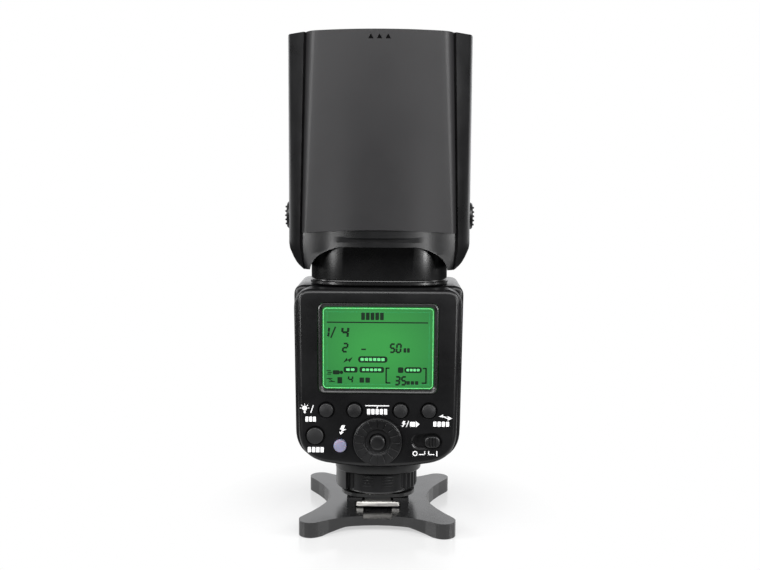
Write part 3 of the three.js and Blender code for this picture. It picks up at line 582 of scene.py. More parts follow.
def front_ring(z, inset=0.0):
    """Half ring of the front shell, which is rounded about the tilt axis low down."""
    drop = PIVOT_Z - z
    reach = math.sqrt(FRONT_SWING ** 2 - drop ** 2) if drop > ROUND_BELOW else HEAD_FRONT
    side = HEAD_HALF - inset
    middle = (side - FRONT_CORNER, HEAD_FRONT - inset - FRONT_CORNER)
    right = [(side, SPLIT_GAP)] + arc(*middle, FRONT_CORNER, 0, 90, 6)
    return [(taper(x, z), min(y, reach), z) for x, y in mirrored(right)]


def rear_mouth():
    """Outline of the opening over the neck, seen from behind: straight lip, arcs falling to the cheeks."""
    right = [(MOUTH_HALF, 90), (MOUTH_HALF, 108.2)]
    right += quad_curve((MOUTH_HALF, 108.2), (MOUTH_HALF - 0.9, 115), (MOUTH_HALF - 12, LIP_Z), 12)[1:]
    return mirrored(right)


def drum_room(ring):
    """The space between the cheeks that the neck's drum turns in."""
    outline = [(max(-CHEEK_INNER, min(CHEEK_INNER, x)), y) for x, y, _ in ring(CAVITY_BOTTOM, SKIN)]
    return loft("drum_room", [[(x, y, z) for x, y in outline] for z in (100, CAVITY_BOTTOM + 1)])


def axle_bore():
    return lathe("axle_bore", tube(AXLE_RADIUS, -OUTSIDE, OUTSIDE), "x", (0, PIVOT_Z), 32)


def head_cutters(ring):
    """What is taken out of both shells: lens well, room for the drum, axle bore, pivot recesses."""
    tools = [loft("well", [ring(z, SKIN) for z in (CAVITY_BOTTOM, HEAD_TOP + 5)]), drum_room(ring)]
    tools.append(axle_bore())
    for side in (-1, 1):
        for radius, depth, segments in ((6.0, 4, 48), (12.2, 0.8, 72)):
            ends = sorted((side * (HEAD_HALF - depth), side * (HEAD_HALF + 3)))
            tools.append(lathe("pivot_recess", tube(radius, *ends), "x", (0, PIVOT_Z), segments))
    return tools


def head_shell(name, ring, node, *own_cutters):
    shell = loft(name, [ring(z) for z in SHELL_LEVELS])
    carve(shell, *own_cutters, *head_cutters(ring))
    dress(soften(shell, 0.5, 3, 34), "head", "casing_plastic", node)


def head_shells():
    """Rear shell with the arched mouth and a finger groove, and front shell that is open over the drum."""
    groove = slab("groove", rounded_rect(54.5, 1.8, 0.85, 0, 120.4, 4), "y", [(-34, 0), (-28.6, 0)])
    mouth = slab("mouth", rear_mouth(), "y", [(-OUTSIDE, 0), (-22, 0)])
    inside = box("mouth_inside", -CHEEK_INNER, CHEEK_INNER, -22.5, OUTSIDE, 100, LIP_Z)
    head_shell("head_back", rear_ring, "head_rear_shell", groove, mouth, inside)
    opening = box("mouth", -CHEEK_INNER, CHEEK_INNER, -OUTSIDE, OUTSIDE, 100, FRONT_LIP_Z)
    head_shell("head_front", front_ring, "head_front_shell", opening)


def panel_ring(share, columns=24):
    """Crosses the panel at a share of its height: bowed face, slanting edge strips, back inside the shell."""
    half = PANEL_HALF_LOW + (PANEL_HALF_TOP - PANEL_HALF_LOW) * share
    face = [half * (2 * i / columns - 1) for i in range(columns + 1)]
    edge = groove_x(share) - 0.35
    width = edge - half
    edge_y = crown_y(half) + 1.25 * width
    bend = (half + 0.75 * width, crown_y(half) + 0.35 * width)
    strip = quad_curve((half, crown_y(half)), bend, (edge, edge_y), 8)[1:]
    strip.append((edge - 0.4, edge_y + 0.9))
    ring = [(x, crown_y(x)) for x in face] + strip
    ring += [(x * 0.95, crown_y(x) + 1.5) for x in reversed(face)]
    ring += [(-x, y) for x, y in reversed(strip)]
    places = []
    for x, y in ring:
        low = PANEL_BOTTOM + PANEL_ARCH * (1 - (x / 31) ** 2)
        places.append((x, y, low + (HEAD_TOP - low) * share))
    return places


def back_panel():
    """Raised trapezoid plate on the back of the head, with three small pits under its upper edge; a
    near-black plate at each pit's bottom is painted shade.
    """
    panel = loft("back_panel", [panel_ring(i / 12) for i in range(13)])
    pits = []
    shade_floors = []
    for i in (-1, 0, 1):
        base = crown_y(PIT_SPACING * i)
        outline = arc(PIT_SPACING * i, PIT_Z, PIT_RADIUS, 90, 330, 2)
        pits.append(slab("pit", outline, "y", [(base - 1, 0), (base + 1.2, 0)]))
        # a near-black plate at the pit's bottom paints the shade inside it
        shade_floors.append(slab("pit_shade_floor", outline, "y", [(base + 0.35, -0.1), (base + 1.3, -0.1)]))
    carve(panel, *pits)
    dress(soften(panel, 0.12, 2, 30), "head", "panel_plastic")
    dress(merge("panel_pit_shade", *shade_floors), "head", "bezel_gloss", material=PIT_SHADE)


def release_buttons():
    """Ridged round buttons on the tilt axis."""
    for side, name in ((-1, "left"), (1, "right")):
        inner = side * (HEAD_HALF - 2.4)
        face = side * (HEAD_HALF + BUTTON_STANDS)
        profile = [(1e-4, inner), (5.6, inner), (5.6, face - side * 0.5), (5.1, face), (1e-4, face)]
        parts = [lathe("release_cap", profile, "x", (0, PIVOT_Z), 48)]
        for row in range(-2, 3):
            rise = row * RIDGE_PITCH
            length = 2 * math.sqrt(4.9 ** 2 - rise ** 2)
            outline = rounded_rect(length, 0.8, 0.35, 0, PIVOT_Z + rise, 3)
            ends = rounded_steps(face - side * 0.4, face + side * 0.6, 0, 0.3, 3)
            parts.append(slab("ridge", outline, "x", ends))
        node = "release_button_" + name
        dress(smooth(merge("release_" + name, *parts), 35), node, "control_plastic", node)


# ------ neck
NECK_HALF = 28.3
DRUM_ROUND = 7
DRUM_FLAT = 15
COLLAR_DEPTH = 19.5
STEM_RADIUS = 11.6
COLLAR_BOTTOM = 103.4
FLANGE_BOTTOM = 101.3


def full_oval(half_x, half_y, fullness=3.6, segments=120):
    """Superellipse: between an ellipse and a rectangle, with no flat stretch."""
    points = []
    for i in range(segments):
        angle = 2 * math.pi * i / segments
        c, s = math.cos(angle), math.sin(angle)
        x = half_x * math.copysign(abs(c) ** (2 / fullness), c)
        points.append((x, half_y * math.copysign(abs(s) ** (2 / fullness), s)))
    return points


def neck():
    """Drum about the tilt axis, met by an upright collar; the edge between them makes the side arcs."""
    left = [(1e-4, -NECK_HALF)] + arc(DRUM_FLAT, DRUM_ROUND - NECK_HALF, DRUM_ROUND, -90, 0, 9)
    profile = left + [(radius, -place) for radius, place in reversed(left)]
    drum = lathe("neck_knuckle", profile, "x", (0, PIVOT_Z), 96)
    steps = rounded_steps(COLLAR_BOTTOM, PIVOT_Z, 0.5, 0, 3)
    collar = slab("collar", full_oval(NECK_HALF, COLLAR_DEPTH), "z", steps)
    carve(collar, box("front_room", -OUTSIDE, OUTSIDE, -1.5, OUTSIDE, 90, 140))
    carve(drum, box("under", -OUTSIDE, OUTSIDE, -OUTSIDE, OUTSIDE, 90, COLLAR_BOTTOM))
    steps = [(FLANGE_BOTTOM, 0.4), (101.8, 0), (102.7, 0), (103.0, 0.9), (COLLAR_BOTTOM + 0.1, 1.1)]
    flange = slab("flange", full_oval(NECK_HALF + 0.4, COLLAR_DEPTH + 0.5), "z", steps)
    stem = lathe("stem", tube(STEM_RADIUS, 92, FLANGE_BOTTOM + 1), "z", (0, 0))
    for part in (collar, flange, stem):
        fuse(drum, part)
    carve(drum, axle_bore())
    dress(soften(drum, 0.4, 3, 30), "neck", "neck_plastic", "neck")


head_shells()
back_panel()
release_buttons()
neck()


# ------ body
BODY_LOW, BODY_HIGH = corners("body_shell")
BODY_TOP = BODY_HIGH.z
BODY_BOTTOM = BODY_LOW.z
BODY_HALF_TOP = BODY_HIGH.x
BODY_HALF_LOW = BODY_HALF_TOP - 0.6
BODY_REAR = -22.0
BODY_STEP = -15.0
BODY_FRONT = BODY_HIGH.y - AXIS_Y
SHOULDER = 4.0
REAR_SHOULDER = 8.0
COVER_SHOULDER = 5.5
LOW_CORNER_Z = 43.0
WINDOW_Z = 52

DOOR_LOW, DOOR_HIGH = corners("battery_door")
DOOR_MIDDLE = (DOOR_LOW.y + DOOR_HIGH.y) / 2 - AXIS_Y
EDGE_GAP = 0.3


def body_outline(inset=0.0, end_inset=None, corner=SHOULDER):
    """The body seen from behind: round shoulders, sides drawn in downwards, large lower corners."""
    end_inset = inset if end_inset is None else end_inset
    low = BODY_BOTTOM + end_inset
    top = BODY_TOP - end_inset
    wide = BODY_HALF_TOP - inset
    narrow = BODY_HALF_LOW - inset
    right = quad_curve((0, low), (11, low), (19, low + 1.3), 5)
    right += quad_curve((19, low + 1.3), (narrow + 0.2, low + 2.7), (narrow, LOW_CORNER_Z), 12)[1:]
    right += quad_curve((wide, top - corner), (wide, top), (wide - corner, top), 8)
    return mirrored(right)


def body_side_x(z):
    """Half width of the body at a height between its lower corners and its shoulders."""
    share = (z - LOW_CORNER_Z) / (BODY_TOP - SHOULDER - LOW_CORNER_Z)
    return BODY_HALF_LOW + share * (BODY_HALF_TOP - BODY_HALF_LOW)


def seam_band(outline, core, axis, start, end):
    """A thin band to cut a parting line with, between an outline outside the skin and a core inside it."""
    band = slab("parting", outline, axis, [(start, 0), (end, 0)])
    return carve(band, slab("core", core, axis, [(start - 1, 0), (end + 1, 0)]))


def body_shell():
    """Casing in two widths: a narrower band behind the rear cover, then the full width."""
    main = slab("body_casing", body_outline(), "y", rounded_steps(BODY_STEP, BODY_FRONT, 1.6, 4.5, 6))
    steps = rounded_steps(BODY_REAR, BODY_STEP + 1, 0.6, 0, 4)
    fuse(main, slab("band", body_outline(0.7, 0.3, REAR_SHOULDER), "y", steps))
    cavity = [(BODY_REAR - 1, 0), (BODY_FRONT - SKIN - 3.5, 0), (BODY_FRONT - SKIN, 4)]
    hollow = slab("hollow", body_outline(SKIN + 0.7, SKIN), "y", cavity)
    swivel = lathe("swivel", tube(12, 90, 105), "z", (0, 0))
    window = slab("window", rounded_rect(40.6, 22.6, 4, 0, WINDOW_Z), "y", [(15, 0), (30, 0)])
    hatch_rear = DOOR_LOW.y - AXIS_Y - EDGE_GAP
    hatch_front = DOOR_HIGH.y - AXIS_Y + EDGE_GAP
    hatch = box("hatch", DOOR_LOW.x - EDGE_GAP, 40, hatch_rear, hatch_front, 20, 68.1)
    port = box("port", -40, -28, -8.3, 6.3, 45.7, 74.3)
    carve(main, hollow, swivel, window, hatch, port)
    carve(main, seam_band(offset(body_outline(), -1), offset(body_outline(), 1.1), "y", 21.5, 21.8))
    dress(soften(main, 0.3, 2, 32), "body", "casing_plastic", "body_shell")


# ------ rear cover and display
COVER_REAR = corners("rear_cover")[0].y - AXIS_Y
COVER_FRONT = corners("rear_cover")[1].y - AXIS_Y
LCD_Z = (corners("lcd_bezel")[0].z + corners("lcd_bezel")[1].z) / 2
DISPLAY_FACE = -24.9
FRAME_WIDTH = 48
FRAME_HEIGHT = 36.5
ROW_Z = 51.5
ROW_X = (-20.8, -9.4, 9.2, 20.6)
ROW_RADIUS = 2.8
MODE_X, MODE_Z, MODE_RADIUS = -25.3, 40.9, 3.36
PILOT_X, PILOT_Z, PILOT_RADIUS = -15.2, 36.8, 2.6
DIAL_Z = joint_place("dial_turn")[2]
SWITCH_X, SWITCH_Z = 19.9, 38.9
KNOB_X = 22.1


def rear_cover():
    """Cover plate with a rolled edge, a dished frame for the display and a countersink round every key."""
    outline = body_outline(2.1, 0.4, COVER_SHOULDER)
    plate = slab("rear_plate", outline, "y", rounded_steps(COVER_REAR, COVER_FRONT, 1.8, 0, 6))
    through = [(-30, 0), (-20, 0)]
    tools = [slab("lcd_hole", rounded_rect(FRAME_WIDTH + 0.6, FRAME_HEIGHT + 0.6, 3, 0, LCD_Z), "y", through)]
    keys_sunk = [(x, ROW_Z, ROW_RADIUS) for x in ROW_X]
    keys_sunk += [(MODE_X, MODE_Z, MODE_RADIUS), (PILOT_X, PILOT_Z, PILOT_RADIUS)]
    for x, z, radius in keys_sunk:
        tools.append(lathe("key_hole", tube(radius + 0.3, -20, -30), "y", (x, z), 40))
        cone = [(radius + 0.2, COVER_REAR + 0.6), (radius + 0.95, COVER_REAR - 0.1), (radius + 0.95, -30)]
        tools.append(lathe("key_sink", cone, "y", (x, z), 40))
    tools.append(lathe("dial_hole", tube(5.6, -20, -30), "y", (0, DIAL_Z), 48))
    tools.append(lathe("dial_seat", tube(10.3, COVER_REAR + 0.5, -30), "y", (0, DIAL_Z), 72))
    tools.append(slab("switch_slot", rounded_rect(11.1, 5.4, 2.65, SWITCH_X, SWITCH_Z), "y", through))
    sink = rounded_rect(12.6, 6.9, 3.4, SWITCH_X, SWITCH_Z, 8)
    tools.append(slab("switch_sink", sink, "y", [(-30, 0), (COVER_REAR, 0), (COVER_REAR + 0.6, 0.7)]))
    carve(plate, *tools)
    dress(soften(plate, 0.12, 2, 32), "body", "casing_plastic", "rear_cover")


def frame_loft(name, levels):
    """A closed frame, skinned round its own section through (outline, inset, y) levels."""
    rings = [[(x, y, z) for x, z in offset(outline, inset)] for outline, inset, y in levels]
    return loft(name, rings, around=True)


def lcd_frame():
    """Dished gloss frame: its face falls from the cover's plane to the display."""
    outer = rounded_rect(FRAME_WIDTH, FRAME_HEIGHT, 2.7, 0, LCD_Z, 8)
    inner = rounded_rect(FRAME_WIDTH - 3.1, FRAME_HEIGHT - 3.1, 1.7, 0, LCD_Z, 8)
    levels = [(outer, 0.0, -22.7), (outer, 0.0, -25.5), (outer, 0.45, -25.8), (outer, 0.9, -25.6)]
    levels += [(inner, 0.0, DISPLAY_FACE + 0.05), (inner, 0.0, -22.7)]
    dress(smooth(frame_loft("lcd_surround", levels), 30), "body", "bezel_gloss", "lcd_bezel")


# ------ marks printed on flat faces
def plates(name, outlines, face, thickness):
    """Thin flat shapes that stand on the face they are printed on, towards -Y."""
    vertices = []
    faces = []
    for outline in outlines:
        start = len(vertices)
        count = len(outline)
        vertices += [(x, face, z) for x, z in outline] + [(x, face - thickness, z) for x, z in outline]
        faces += [tuple(range(start, start + count)), tuple(range(start + count, start + 2 * count))]
        for k in range(count):
            n = (k + 1) % count
            faces.append((start + k, start + n, start + count + n, start + count + k))
    return mesh_from(name, vertices, faces, weld=False)


def stroke(x0, z0, x1, z1, width):
    """A straight line of some width, as an outline that runs a little past its ends."""
    along = Vector((x1 - x0, z1 - z0)).normalized() * (width / 2)
    across = Vector((-along.y, along.x))
    start = Vector((x0, z0)) - along * 0.4
    end = Vector((x1, z1)) + along * 0.4
    return [tuple(p) for p in (start - across, end - across, end + across, start + across)]


def block(x0, z0, x1, z1, radius=0.2):
    return rounded_rect(abs(x1 - x0), abs(z1 - z0), radius, (x0 + x1) / 2, (z0 + z1) / 2, 3)


def bars(x0, z0, x1, z1, count):
    """A row of short rounded bars that stands in for a word."""
    pitch = (x1 - x0) / count
    return [block(x0 + i * pitch, z0, x0 + (i + 0.78) * pitch, z1, 0.25) for i in range(count)]


def marks_from(words, lines):
    """Bars for a list of words and strokes for a list of lines."""
    return [shape for word in words for shape in bars(*word)] + [stroke(*line) for line in lines]


SEGMENTS = {
    "a": (0, 1, 1, 1), "b": (1, 1, 1, 0.5), "c": (1, 0.5, 1, 0), "d": (0, 0, 1, 0),
    "e": (0, 0, 0, 0.5), "f": (0, 0.5, 0, 1), "g": (0, 0.5, 1, 0.5),
}
DIGITS = {"0": "abcdef", "1": "bc", "2": "abged", "3": "abgcd", "4": "fgbc", "5": "afgcd"}
SLANT = 0.1


def digit(symbol, x, z, width, height, weight):
    """Seven-segment numeral with a slight slant; x and z give its lower left corner."""
    shapes = []
    for letter in DIGITS[symbol]:
        u0, v0, u1, v1 = SEGMENTS[letter]
        start = Vector((x + u0 * width + SLANT * v0 * height, z + v0 * height))
        end = Vector((x + u1 * width + SLANT * v1 * height, z + v1 * height))
        gap = (end - start).normalized() * weight * 0.35
        shapes.append(stroke(*(start + gap), *(end - gap), weight))
    return shapes


def bolt(x, z, size):
    """Lightning flash in two leaning halves."""
    upper = [(0.1, 1), (0.45, 1), (0.3, 0.6), (0.6, 0.6), (0, 0.25), (0.12, 0.55), (-0.1, 0.55)]
    tip = [(-0.18, 0.3), (0.3, 0.3), (0, 0)]
    return [[(x + u * size, z + v * size) for u, v in half] for half in (upper, tip)]


# What the display shows, placed from its middle: numerals are (symbol, x, z, width, height, weight),
# words (x0, z0, x1, z1, bars), lines (x0, z0, x1, z1, width) and pills (x0, z0, x1, z1, radius).
LCD_DIGITS = [
    ("1", -21.2, 4.6, 1.2, 3.8, 0.85), ("4", -14.6, 4.5, 2.3, 3.9, 0.9), ("2", -14.2, -1.4, 1.7, 3.3, 0.72),
    ("5", 4.8, -1.5, 1.6, 3.3, 0.74), ("0", 7.3, -1.5, 1.6, 3.3, 0.74), ("3", 6.9, -14.7, 1.6, 3.2, 0.74),
    ("5", 9.4, -14.7, 1.6, 3.2, 0.74), ("4", -12.0, -14.0, 1.6, 2.6, 0.62),
]
LCD_WORDS = [
    (-6.8, 11.5, 2.6, 14.5, 5), (10.2, -1.6, 13.0, 0.2, 2), (11.5, -14.7, 16.6, -13.2, 3),
    (-7.4, -14.0, -2.7, -11.9, 2),
]
LCD_LINES = [
    (-20.4, 10.5, 19.8, 10.5, 0.5), (-18.9, 4.3, -17.1, 8.6, 0.6), (-6.6, -0.4, -5.0, -0.4, 0.6),
    (-20.6, -9.2, -19.0, -9.2, 0.35), (-20.6, -10.6, -19.0, -10.6, 0.35), (-20.2, -9.9, -18.6, -9.9, 0.35),
    (-20.6, -12.4, -18.4, -12.4, 0.35), (-19.6, -13.6, -17.4, -13.6, 0.35),
    (-19.8, -12.4, -18.2, -13.6, 0.35),
]
LCD_ARROW = [(-14.0, -5.9), (-12.6, -3.9), (-12.2, -4.7), (-10.2, -3.6), (-11.4, -5.7), (-12.0, -4.9)]
LCD_PILLS = [
    (-8.0, -5.8, 3.8, -3.2, 1.1), (-13.8, -9.9, -8.2, -7.5, 0.7), (-7.4, -9.9, 2.4, -7.5, 0.7),
    (8.0, -9.9, 10.2, -7.6, 0.5), (10.6, -9.9, 17.6, -7.5, 1.0),
]
LCD_PILL_WORDS = [
    (-7.0, -5.1, 3.0, -3.9, 6), (-12.8, -9.2, -9.0, -8.2, 2), (-6.4, -9.2, 1.6, -8.2, 5),
    (11.4, -9.2, 17.0, -8.2, 4),
]


def display_layer(name, shapes, material, lift=0.0, thickness=0.03):
    """Prints shapes, placed from the display's middle, on its window."""
    placed = [[(x, z + LCD_Z) for x, z in shape] for shape in shapes]
    dress(plates(name, placed, DISPLAY_FACE - lift, thickness), "body", "display_cover", material=material)


def lcd_marks():
    """Numerals, rules, brackets and plain stand-ins for the display's words."""
    shapes = marks_from(LCD_WORDS, LCD_LINES) + [LCD_ARROW]
    for numeral in LCD_DIGITS:
        shapes += digit(*numeral)
    for side, x in ((1, 3.3), (-1, 19.3)):
        bracket = [(x, -14.0, x, -8.0), (x, -14.0, x + side * 1.6, -14.0), (x, -8.0, x + side * 1.2, -8.0)]
        shapes += [stroke(*line, 0.6) for line in bracket]
    shapes += [block(-18.2, -10.7, -15.4, -9.0, 0.5), block(-16.3, -14.4, -14.4, -11.8)]
    shapes.append(circle(0.7, -14.7, -9.85, 16))
    display_layer("display_marks", shapes, INK)
    display_layer("display_pills", [block(*pill) for pill in LCD_PILLS], INK)
    display_layer("display_pill_words", marks_from(LCD_PILL_WORDS, []), DISPLAY_RIM, 0.03, 0.02)


def lcd_rim():
    """Bright line where the backlight escapes round the display, and a fainter one inside it."""
    edge = rounded_rect(44.2, 32.7, 1.5, 0, LCD_Z, 8)
    lines = [("display_rim", 0, 0.32, 0.09, DISPLAY_RIM)]
    lines.append(("display_field_line", 1.5, 0.28, 0.02, DISPLAY_LINE))
    for name, inset, width, height, material in lines:
        outline = offset(edge, inset)
        face = DISPLAY_FACE - height
        levels = [(outline, 0, DISPLAY_FACE), (outline, 0, face), (outline, width, face)]
        levels.append((outline, width, DISPLAY_FACE))
        dress(frame_loft(name, levels), "body", "display_cover", material=material)


COVER_WORDS = [
    (-29.2, 46.7, -24.6, 48.8, 3), (-4.3, 49.9, 4.2, 52.2, 5), (22.4, 45.1, 29.2, 47.2, 4),
    (-28.3, 34.0, -21.4, 36.2, 4),
]
COVER_LINES = [
    (-27.0, 50.4, -26.0, 53.4, 0.36), (-4.9, 53.5, 4.5, 53.5, 0.42), (-0.2, 52.5, -0.2, 53.4, 0.42),
    (11.6, 44.9, 12.5, 47.3, 0.34), (16.9, 33.5, 19.1, 33.5, 0.4), (19.1, 33.5, 19.1, 34.8, 0.4),
    (20.7, 33.5, 22.9, 33.5, 0.4), (20.7, 33.5, 20.7, 34.8, 0.4), (24.0, 32.9, 24.0, 34.9, 0.46),
]
BULB_X, BULB_Z = -29.5, 52.3
ZERO_X, ZERO_Z = 15.2, 33.9


def cover_marks():
    """White symbols beside the keys; words are replaced by plain bars."""
    shapes = marks_from(COVER_WORDS, COVER_LINES) + bolt(10.0, 44.7, 2.6) + bolt(-14.9, 41.4, 3.9)
    shapes += [circle(1.0, BULB_X, BULB_Z, 20), block(-29.9, 50.2, -29.1, 51.2)]
    for turn in range(0, 181, 45):
        near, far = (arc(BULB_X, BULB_Z, radius, turn, turn, 1)[0] for radius in (1.3, 1.8))
        shapes.append(stroke(*near, *far, 0.3))
    shapes += [block(13.0, 45.0, 15.2, 47.0, 0.3), [(15.4, 44.7), (16.9, 46.0), (15.4, 47.3)]]
    shapes.append([(24.6, 49.2), (26.4, 50.2), (26.2, 49.5), (28.2, 49.1), (26.2, 48.9)])
    shapes.append([(30.0, 48.5), (28.2, 49.5), (28.3, 48.8), (26.2, 49.1), (28.3, 48.2), (28.2, 47.6)])
    ring = circle(1.05, ZERO_X, ZERO_Z, 24)
    hole = circle(0.62, ZERO_X, ZERO_Z, 24)
    shapes += [[ring[k - 1], ring[k], hole[k], hole[k - 1]] for k in range(24)]
    dress(plates("cover_marks", shapes, COVER_REAR, 0.03), "body", "panel_plastic", material=PAINT)


# ------ controls
KEY_FOOT = -21.1
KEY_FLANGE = 0.8
KEY_FACE = -26.3
KEY_ROLL = 0.45


def domed_key(name, x, z, radius, node, slot="soft_key", dome=0.35):
    """Round key with a foot flange, a rolled rim and a slightly domed face."""
    flat = radius - KEY_ROLL
    profile = [(1e-4, KEY_FOOT), (radius + KEY_FLANGE, KEY_FOOT)]
    profile += [(radius + KEY_FLANGE, KEY_FOOT - KEY_FLANGE), (radius, KEY_FOOT - KEY_FLANGE)]
    profile += arc(flat, KEY_FACE + KEY_ROLL, KEY_ROLL, 0, -90, 6)
    for step in range(1, 6):
        share = 1 - step / 5
        profile.append((flat * share, KEY_FACE - dome * (1 - share ** 2)))
    dress(smooth(lathe(name, profile, "y", (x, z), 48), 40), node, slot, node)


def keys():
    for number, x in enumerate(ROW_X, 1):
        domed_key("key_%d" % number, x, ROW_Z, ROW_RADIUS, "row_button_%d" % number)
    domed_key("key_mode", MODE_X, MODE_Z, MODE_RADIUS, "mode_button")
    domed_key("key_pilot", PILOT_X, PILOT_Z, PILOT_RADIUS, "pilot_button", "pilot_lamp", 0.2)


DIAL_TILES = 16
TILE_INNER = 5.6
TILE_OUTER = 9.1
TILE_FACE = -27.75


def dial_tile(start, end):
    """One wedge of the dial between two angles; its face rises outwards and from start to end."""
    outline = arc(0, DIAL_Z, TILE_OUTER, start, end, 4) + arc(0, DIAL_Z, TILE_INNER, end, start, 3)
    front = []
    for x, z in outline:
        turn = math.degrees(math.atan2(z - DIAL_Z, x)) - start
        share = min(1, max(0, ((turn + 180) % 360 - 180) / (end - start)))
        out = (math.hypot(x, z - DIAL_Z) - TILE_INNER) / (TILE_OUTER - TILE_INNER)
        front.append((x, TILE_FACE - 0.2 * out - 0.18 * share, z))
    return loft("tile", [[(x, -27.0, z) for x, z in outline], front])


def select_dial():
    """Wheel of wedge tiles, each a little tilted, inside a plain rim, round a sunk hub."""
    profile = [(3.4, -21.5), (5.2, -21.5), (5.2, -25.8), (9.5, -25.8), (9.8, -26.1), (9.8, -27.5)]
    profile += [(9.5, -27.85), (9.0, -27.85), (5.3, -27.3), (4.7, -26.7), (3.4, -26.7)]
    wheel = lathe("dial_wheel", profile, "y", (0, DIAL_Z), 96, around=True)
    pitch = 360 / DIAL_TILES
    tiles = [dial_tile(pitch * (i + 0.07), pitch * (i + 0.93)) for i in range(DIAL_TILES)]
    dial = soften(merge("dial", wheel, *tiles), 0.1, 2, 35)
    dress(dial, "select_dial", "control_plastic", "select_dial")


def set_button():
    """Push button in the dial's hub, with a shallow hollow in its face."""
    profile = [(1e-4, -20.4), (4.4, -20.4), (4.4, KEY_FOOT), (3.0, KEY_FOOT), (3.0, -28.3), (2.9, -28.6)]
    profile += [(2.6, -28.75), (1.6, -28.8), (0.8, -28.72), (1e-4, -28.7)]
    button = lathe("dial_button", profile, "y", (0, DIAL_Z), 48)
    dress(smooth(button, 40), "set_button", "control_plastic", "set_button")


def power_switch():
    """Sliding knob with upright grip grooves, on a wide plate behind the cover."""
    height = 4.6
    outline = rounded_rect(6.2, height, 2.25, KNOB_X, SWITCH_Z, 8)
    knob = slab("knob", outline, "y", rounded_steps(-26.9, -21.5, 0.5, 0, 3))
    grooves = []
    for i in (-1, 0, 1):
        outline = rounded_rect(0.55, height - 0.7, 0.25, KNOB_X + i * 1.15, SWITCH_Z, 3)
        grooves.append(slab("groove", outline, "y", [(-28, 0), (-26.4, 0)]))
    carve(knob, *grooves)
    base = slab("base", rounded_rect(16, 7.4, 1, KNOB_X - 0.5, SWITCH_Z), "y", [(-22, 0), (-20.9, 0)])
    switch = soften(merge("switch_knob", knob, base), 0.12, 2, 40)
    dress(switch, "power_switch", "control_plastic", "power_switch")


# ------ foot, ring and shoe
BLOCK_LOW, BLOCK_HIGH = corners("foot_block")
RING_LOW, RING_HIGH = corners("lock_ring")
RING_RADIUS = 16.6
RING_RIBS = 72
RIB_DEPTH = 0.85
LINE_DEPTH = 0.6


def foot_block():
    """Block under the body with the boss for the ring, and the guard that wraps the ring's left side."""
    steps = rounded_steps(22.0, BLOCK_HIGH.z, 0.6, 0, 3)
    foot = slab("foot", rounded_rect(36.4, 34, 13, 0, 0, 12), "z", steps)
    fuse(foot, lathe("boss", tube(10.9, BLOCK_LOW.z, 23), "z", (0, 0)))
    guard_outline = arc(0, 0, 18.2, 150, 222, 14) + arc(0, 0, RING_RADIUS + 0.5, 222, 150, 14)
    fuse(foot, slab("guard", guard_outline, "z", [(14, 0), (23, 0)]))
    skin = rounded_rect(38, 36, 14, 0, 0, 12)
    carve(foot, seam_band(skin, rounded_rect(35.8, 33.4, 12.7, 0, 0, 12), "z", 25.6, 25.9))
    dress(soften(foot, 0.3, 3, 34), "body", "casing_plastic", "foot_block")


def finger_lines():
    """Two stacks of short raised lines on the smooth rear face of the locking ring."""
    lines = []
    foot = RING_RADIUS - 0.55
    for middle in (255, 285):
        outline = arc(0, 0, foot, middle + 8, middle - 8, 8)
        outline += arc(0, 0, foot + LINE_DEPTH, middle - 8, middle + 8, 8)
        for row in range(4):
            z = 16.4 + row * 1.25
            steps = [(z, 0.05), (z + 0.12, 0), (z + 0.48, 0), (z + 0.6, 0.05)]
            lines.append(slab("line", outline, "z", steps))
    return lines


def lock_ring():
    """Turning ring: ribbed at both sides, smooth towards the back with finger lines, a foot flange below."""
    outline = []
    for i in range(2 * RING_RIBS):
        angle = math.pi * i / RING_RIBS
        radius = RING_RADIUS - 0.3
        if abs(math.cos(angle)) > 0.62:
            radius = RING_RADIUS - (RIB_DEPTH if i % 4 < 2 else 0)
        outline.append((radius * math.cos(angle), radius * math.sin(angle)))
    ring = slab("ring_wheel", outline, "z", [(14.2, 0), (RING_HIGH.z - 0.4, 0), (RING_HIGH.z, 0.4)])
    profile = [(15.0, RING_LOW.z), (16.1, RING_LOW.z + 0.9), (16.5, 13.8), (15.9, 14.8)]
    fuse(ring, lathe("ring_foot", profile, "z", (0, 0), 96))
    carve(ring, lathe("bore", tube(11.3, 10, 24), "z", (0, 0)))
    ring = soften(merge("ring", ring, *finger_lines()), 0.12, 2, 34)
    dress(ring, "lock_ring", "control_plastic", "lock_ring", material=RING_PLASTIC)


def shoe_holes(middle):
    """Pocket for the contact block, hole for the lock pin and stepped holes for the four screws."""
    tools = [box("pocket", -3, 3, middle - 4.5, middle + 4.5, 6, 10)]
    tools.append(lathe("pin_hole", tube(1.2, 6, 14), "z", (0, middle + 6.4), 24))
    for x in (-4.4, 4.4):
        for y in (middle - 5.6, middle + 5.6):
            profile = [(1.8, 6), (1.8, 8), (1.2, 8.02), (1.2, 14)]
            tools.append(lathe("screw_hole", profile, "z", (x, y), 24))
    return tools


def shoe():
    """Bright shoe plate with chamfered edges, and the dark stem that joins it to the block."""
    low, high = corners("shoe_plate")
    middle = (low.y + high.y) / 2 - AXIS_Y
    outline = rounded_rect(high.x - low.x, high.y - low.y, 1, 0, middle)
    plate = slab("shoe", outline, "z", [(low.z, 0.35), (low.z + 0.35, 0), (8.3, 0), (8.6, 0.3)])
    stem = slab("shoe_stem", rounded_rect(12.4, 15, 1, 0, middle), "z", [(8.4, 0), (high.z, 0)])
    carve(plate, *shoe_holes(middle))
    carve(stem, *shoe_holes(middle))
    dress(soften(plate, 0.1, 2, 40), "body", "bright_steel", "shoe_plate", material=SHOE_STEEL)
    dress(soften(stem, 0.1, 2, 40), "body", "control_plastic")


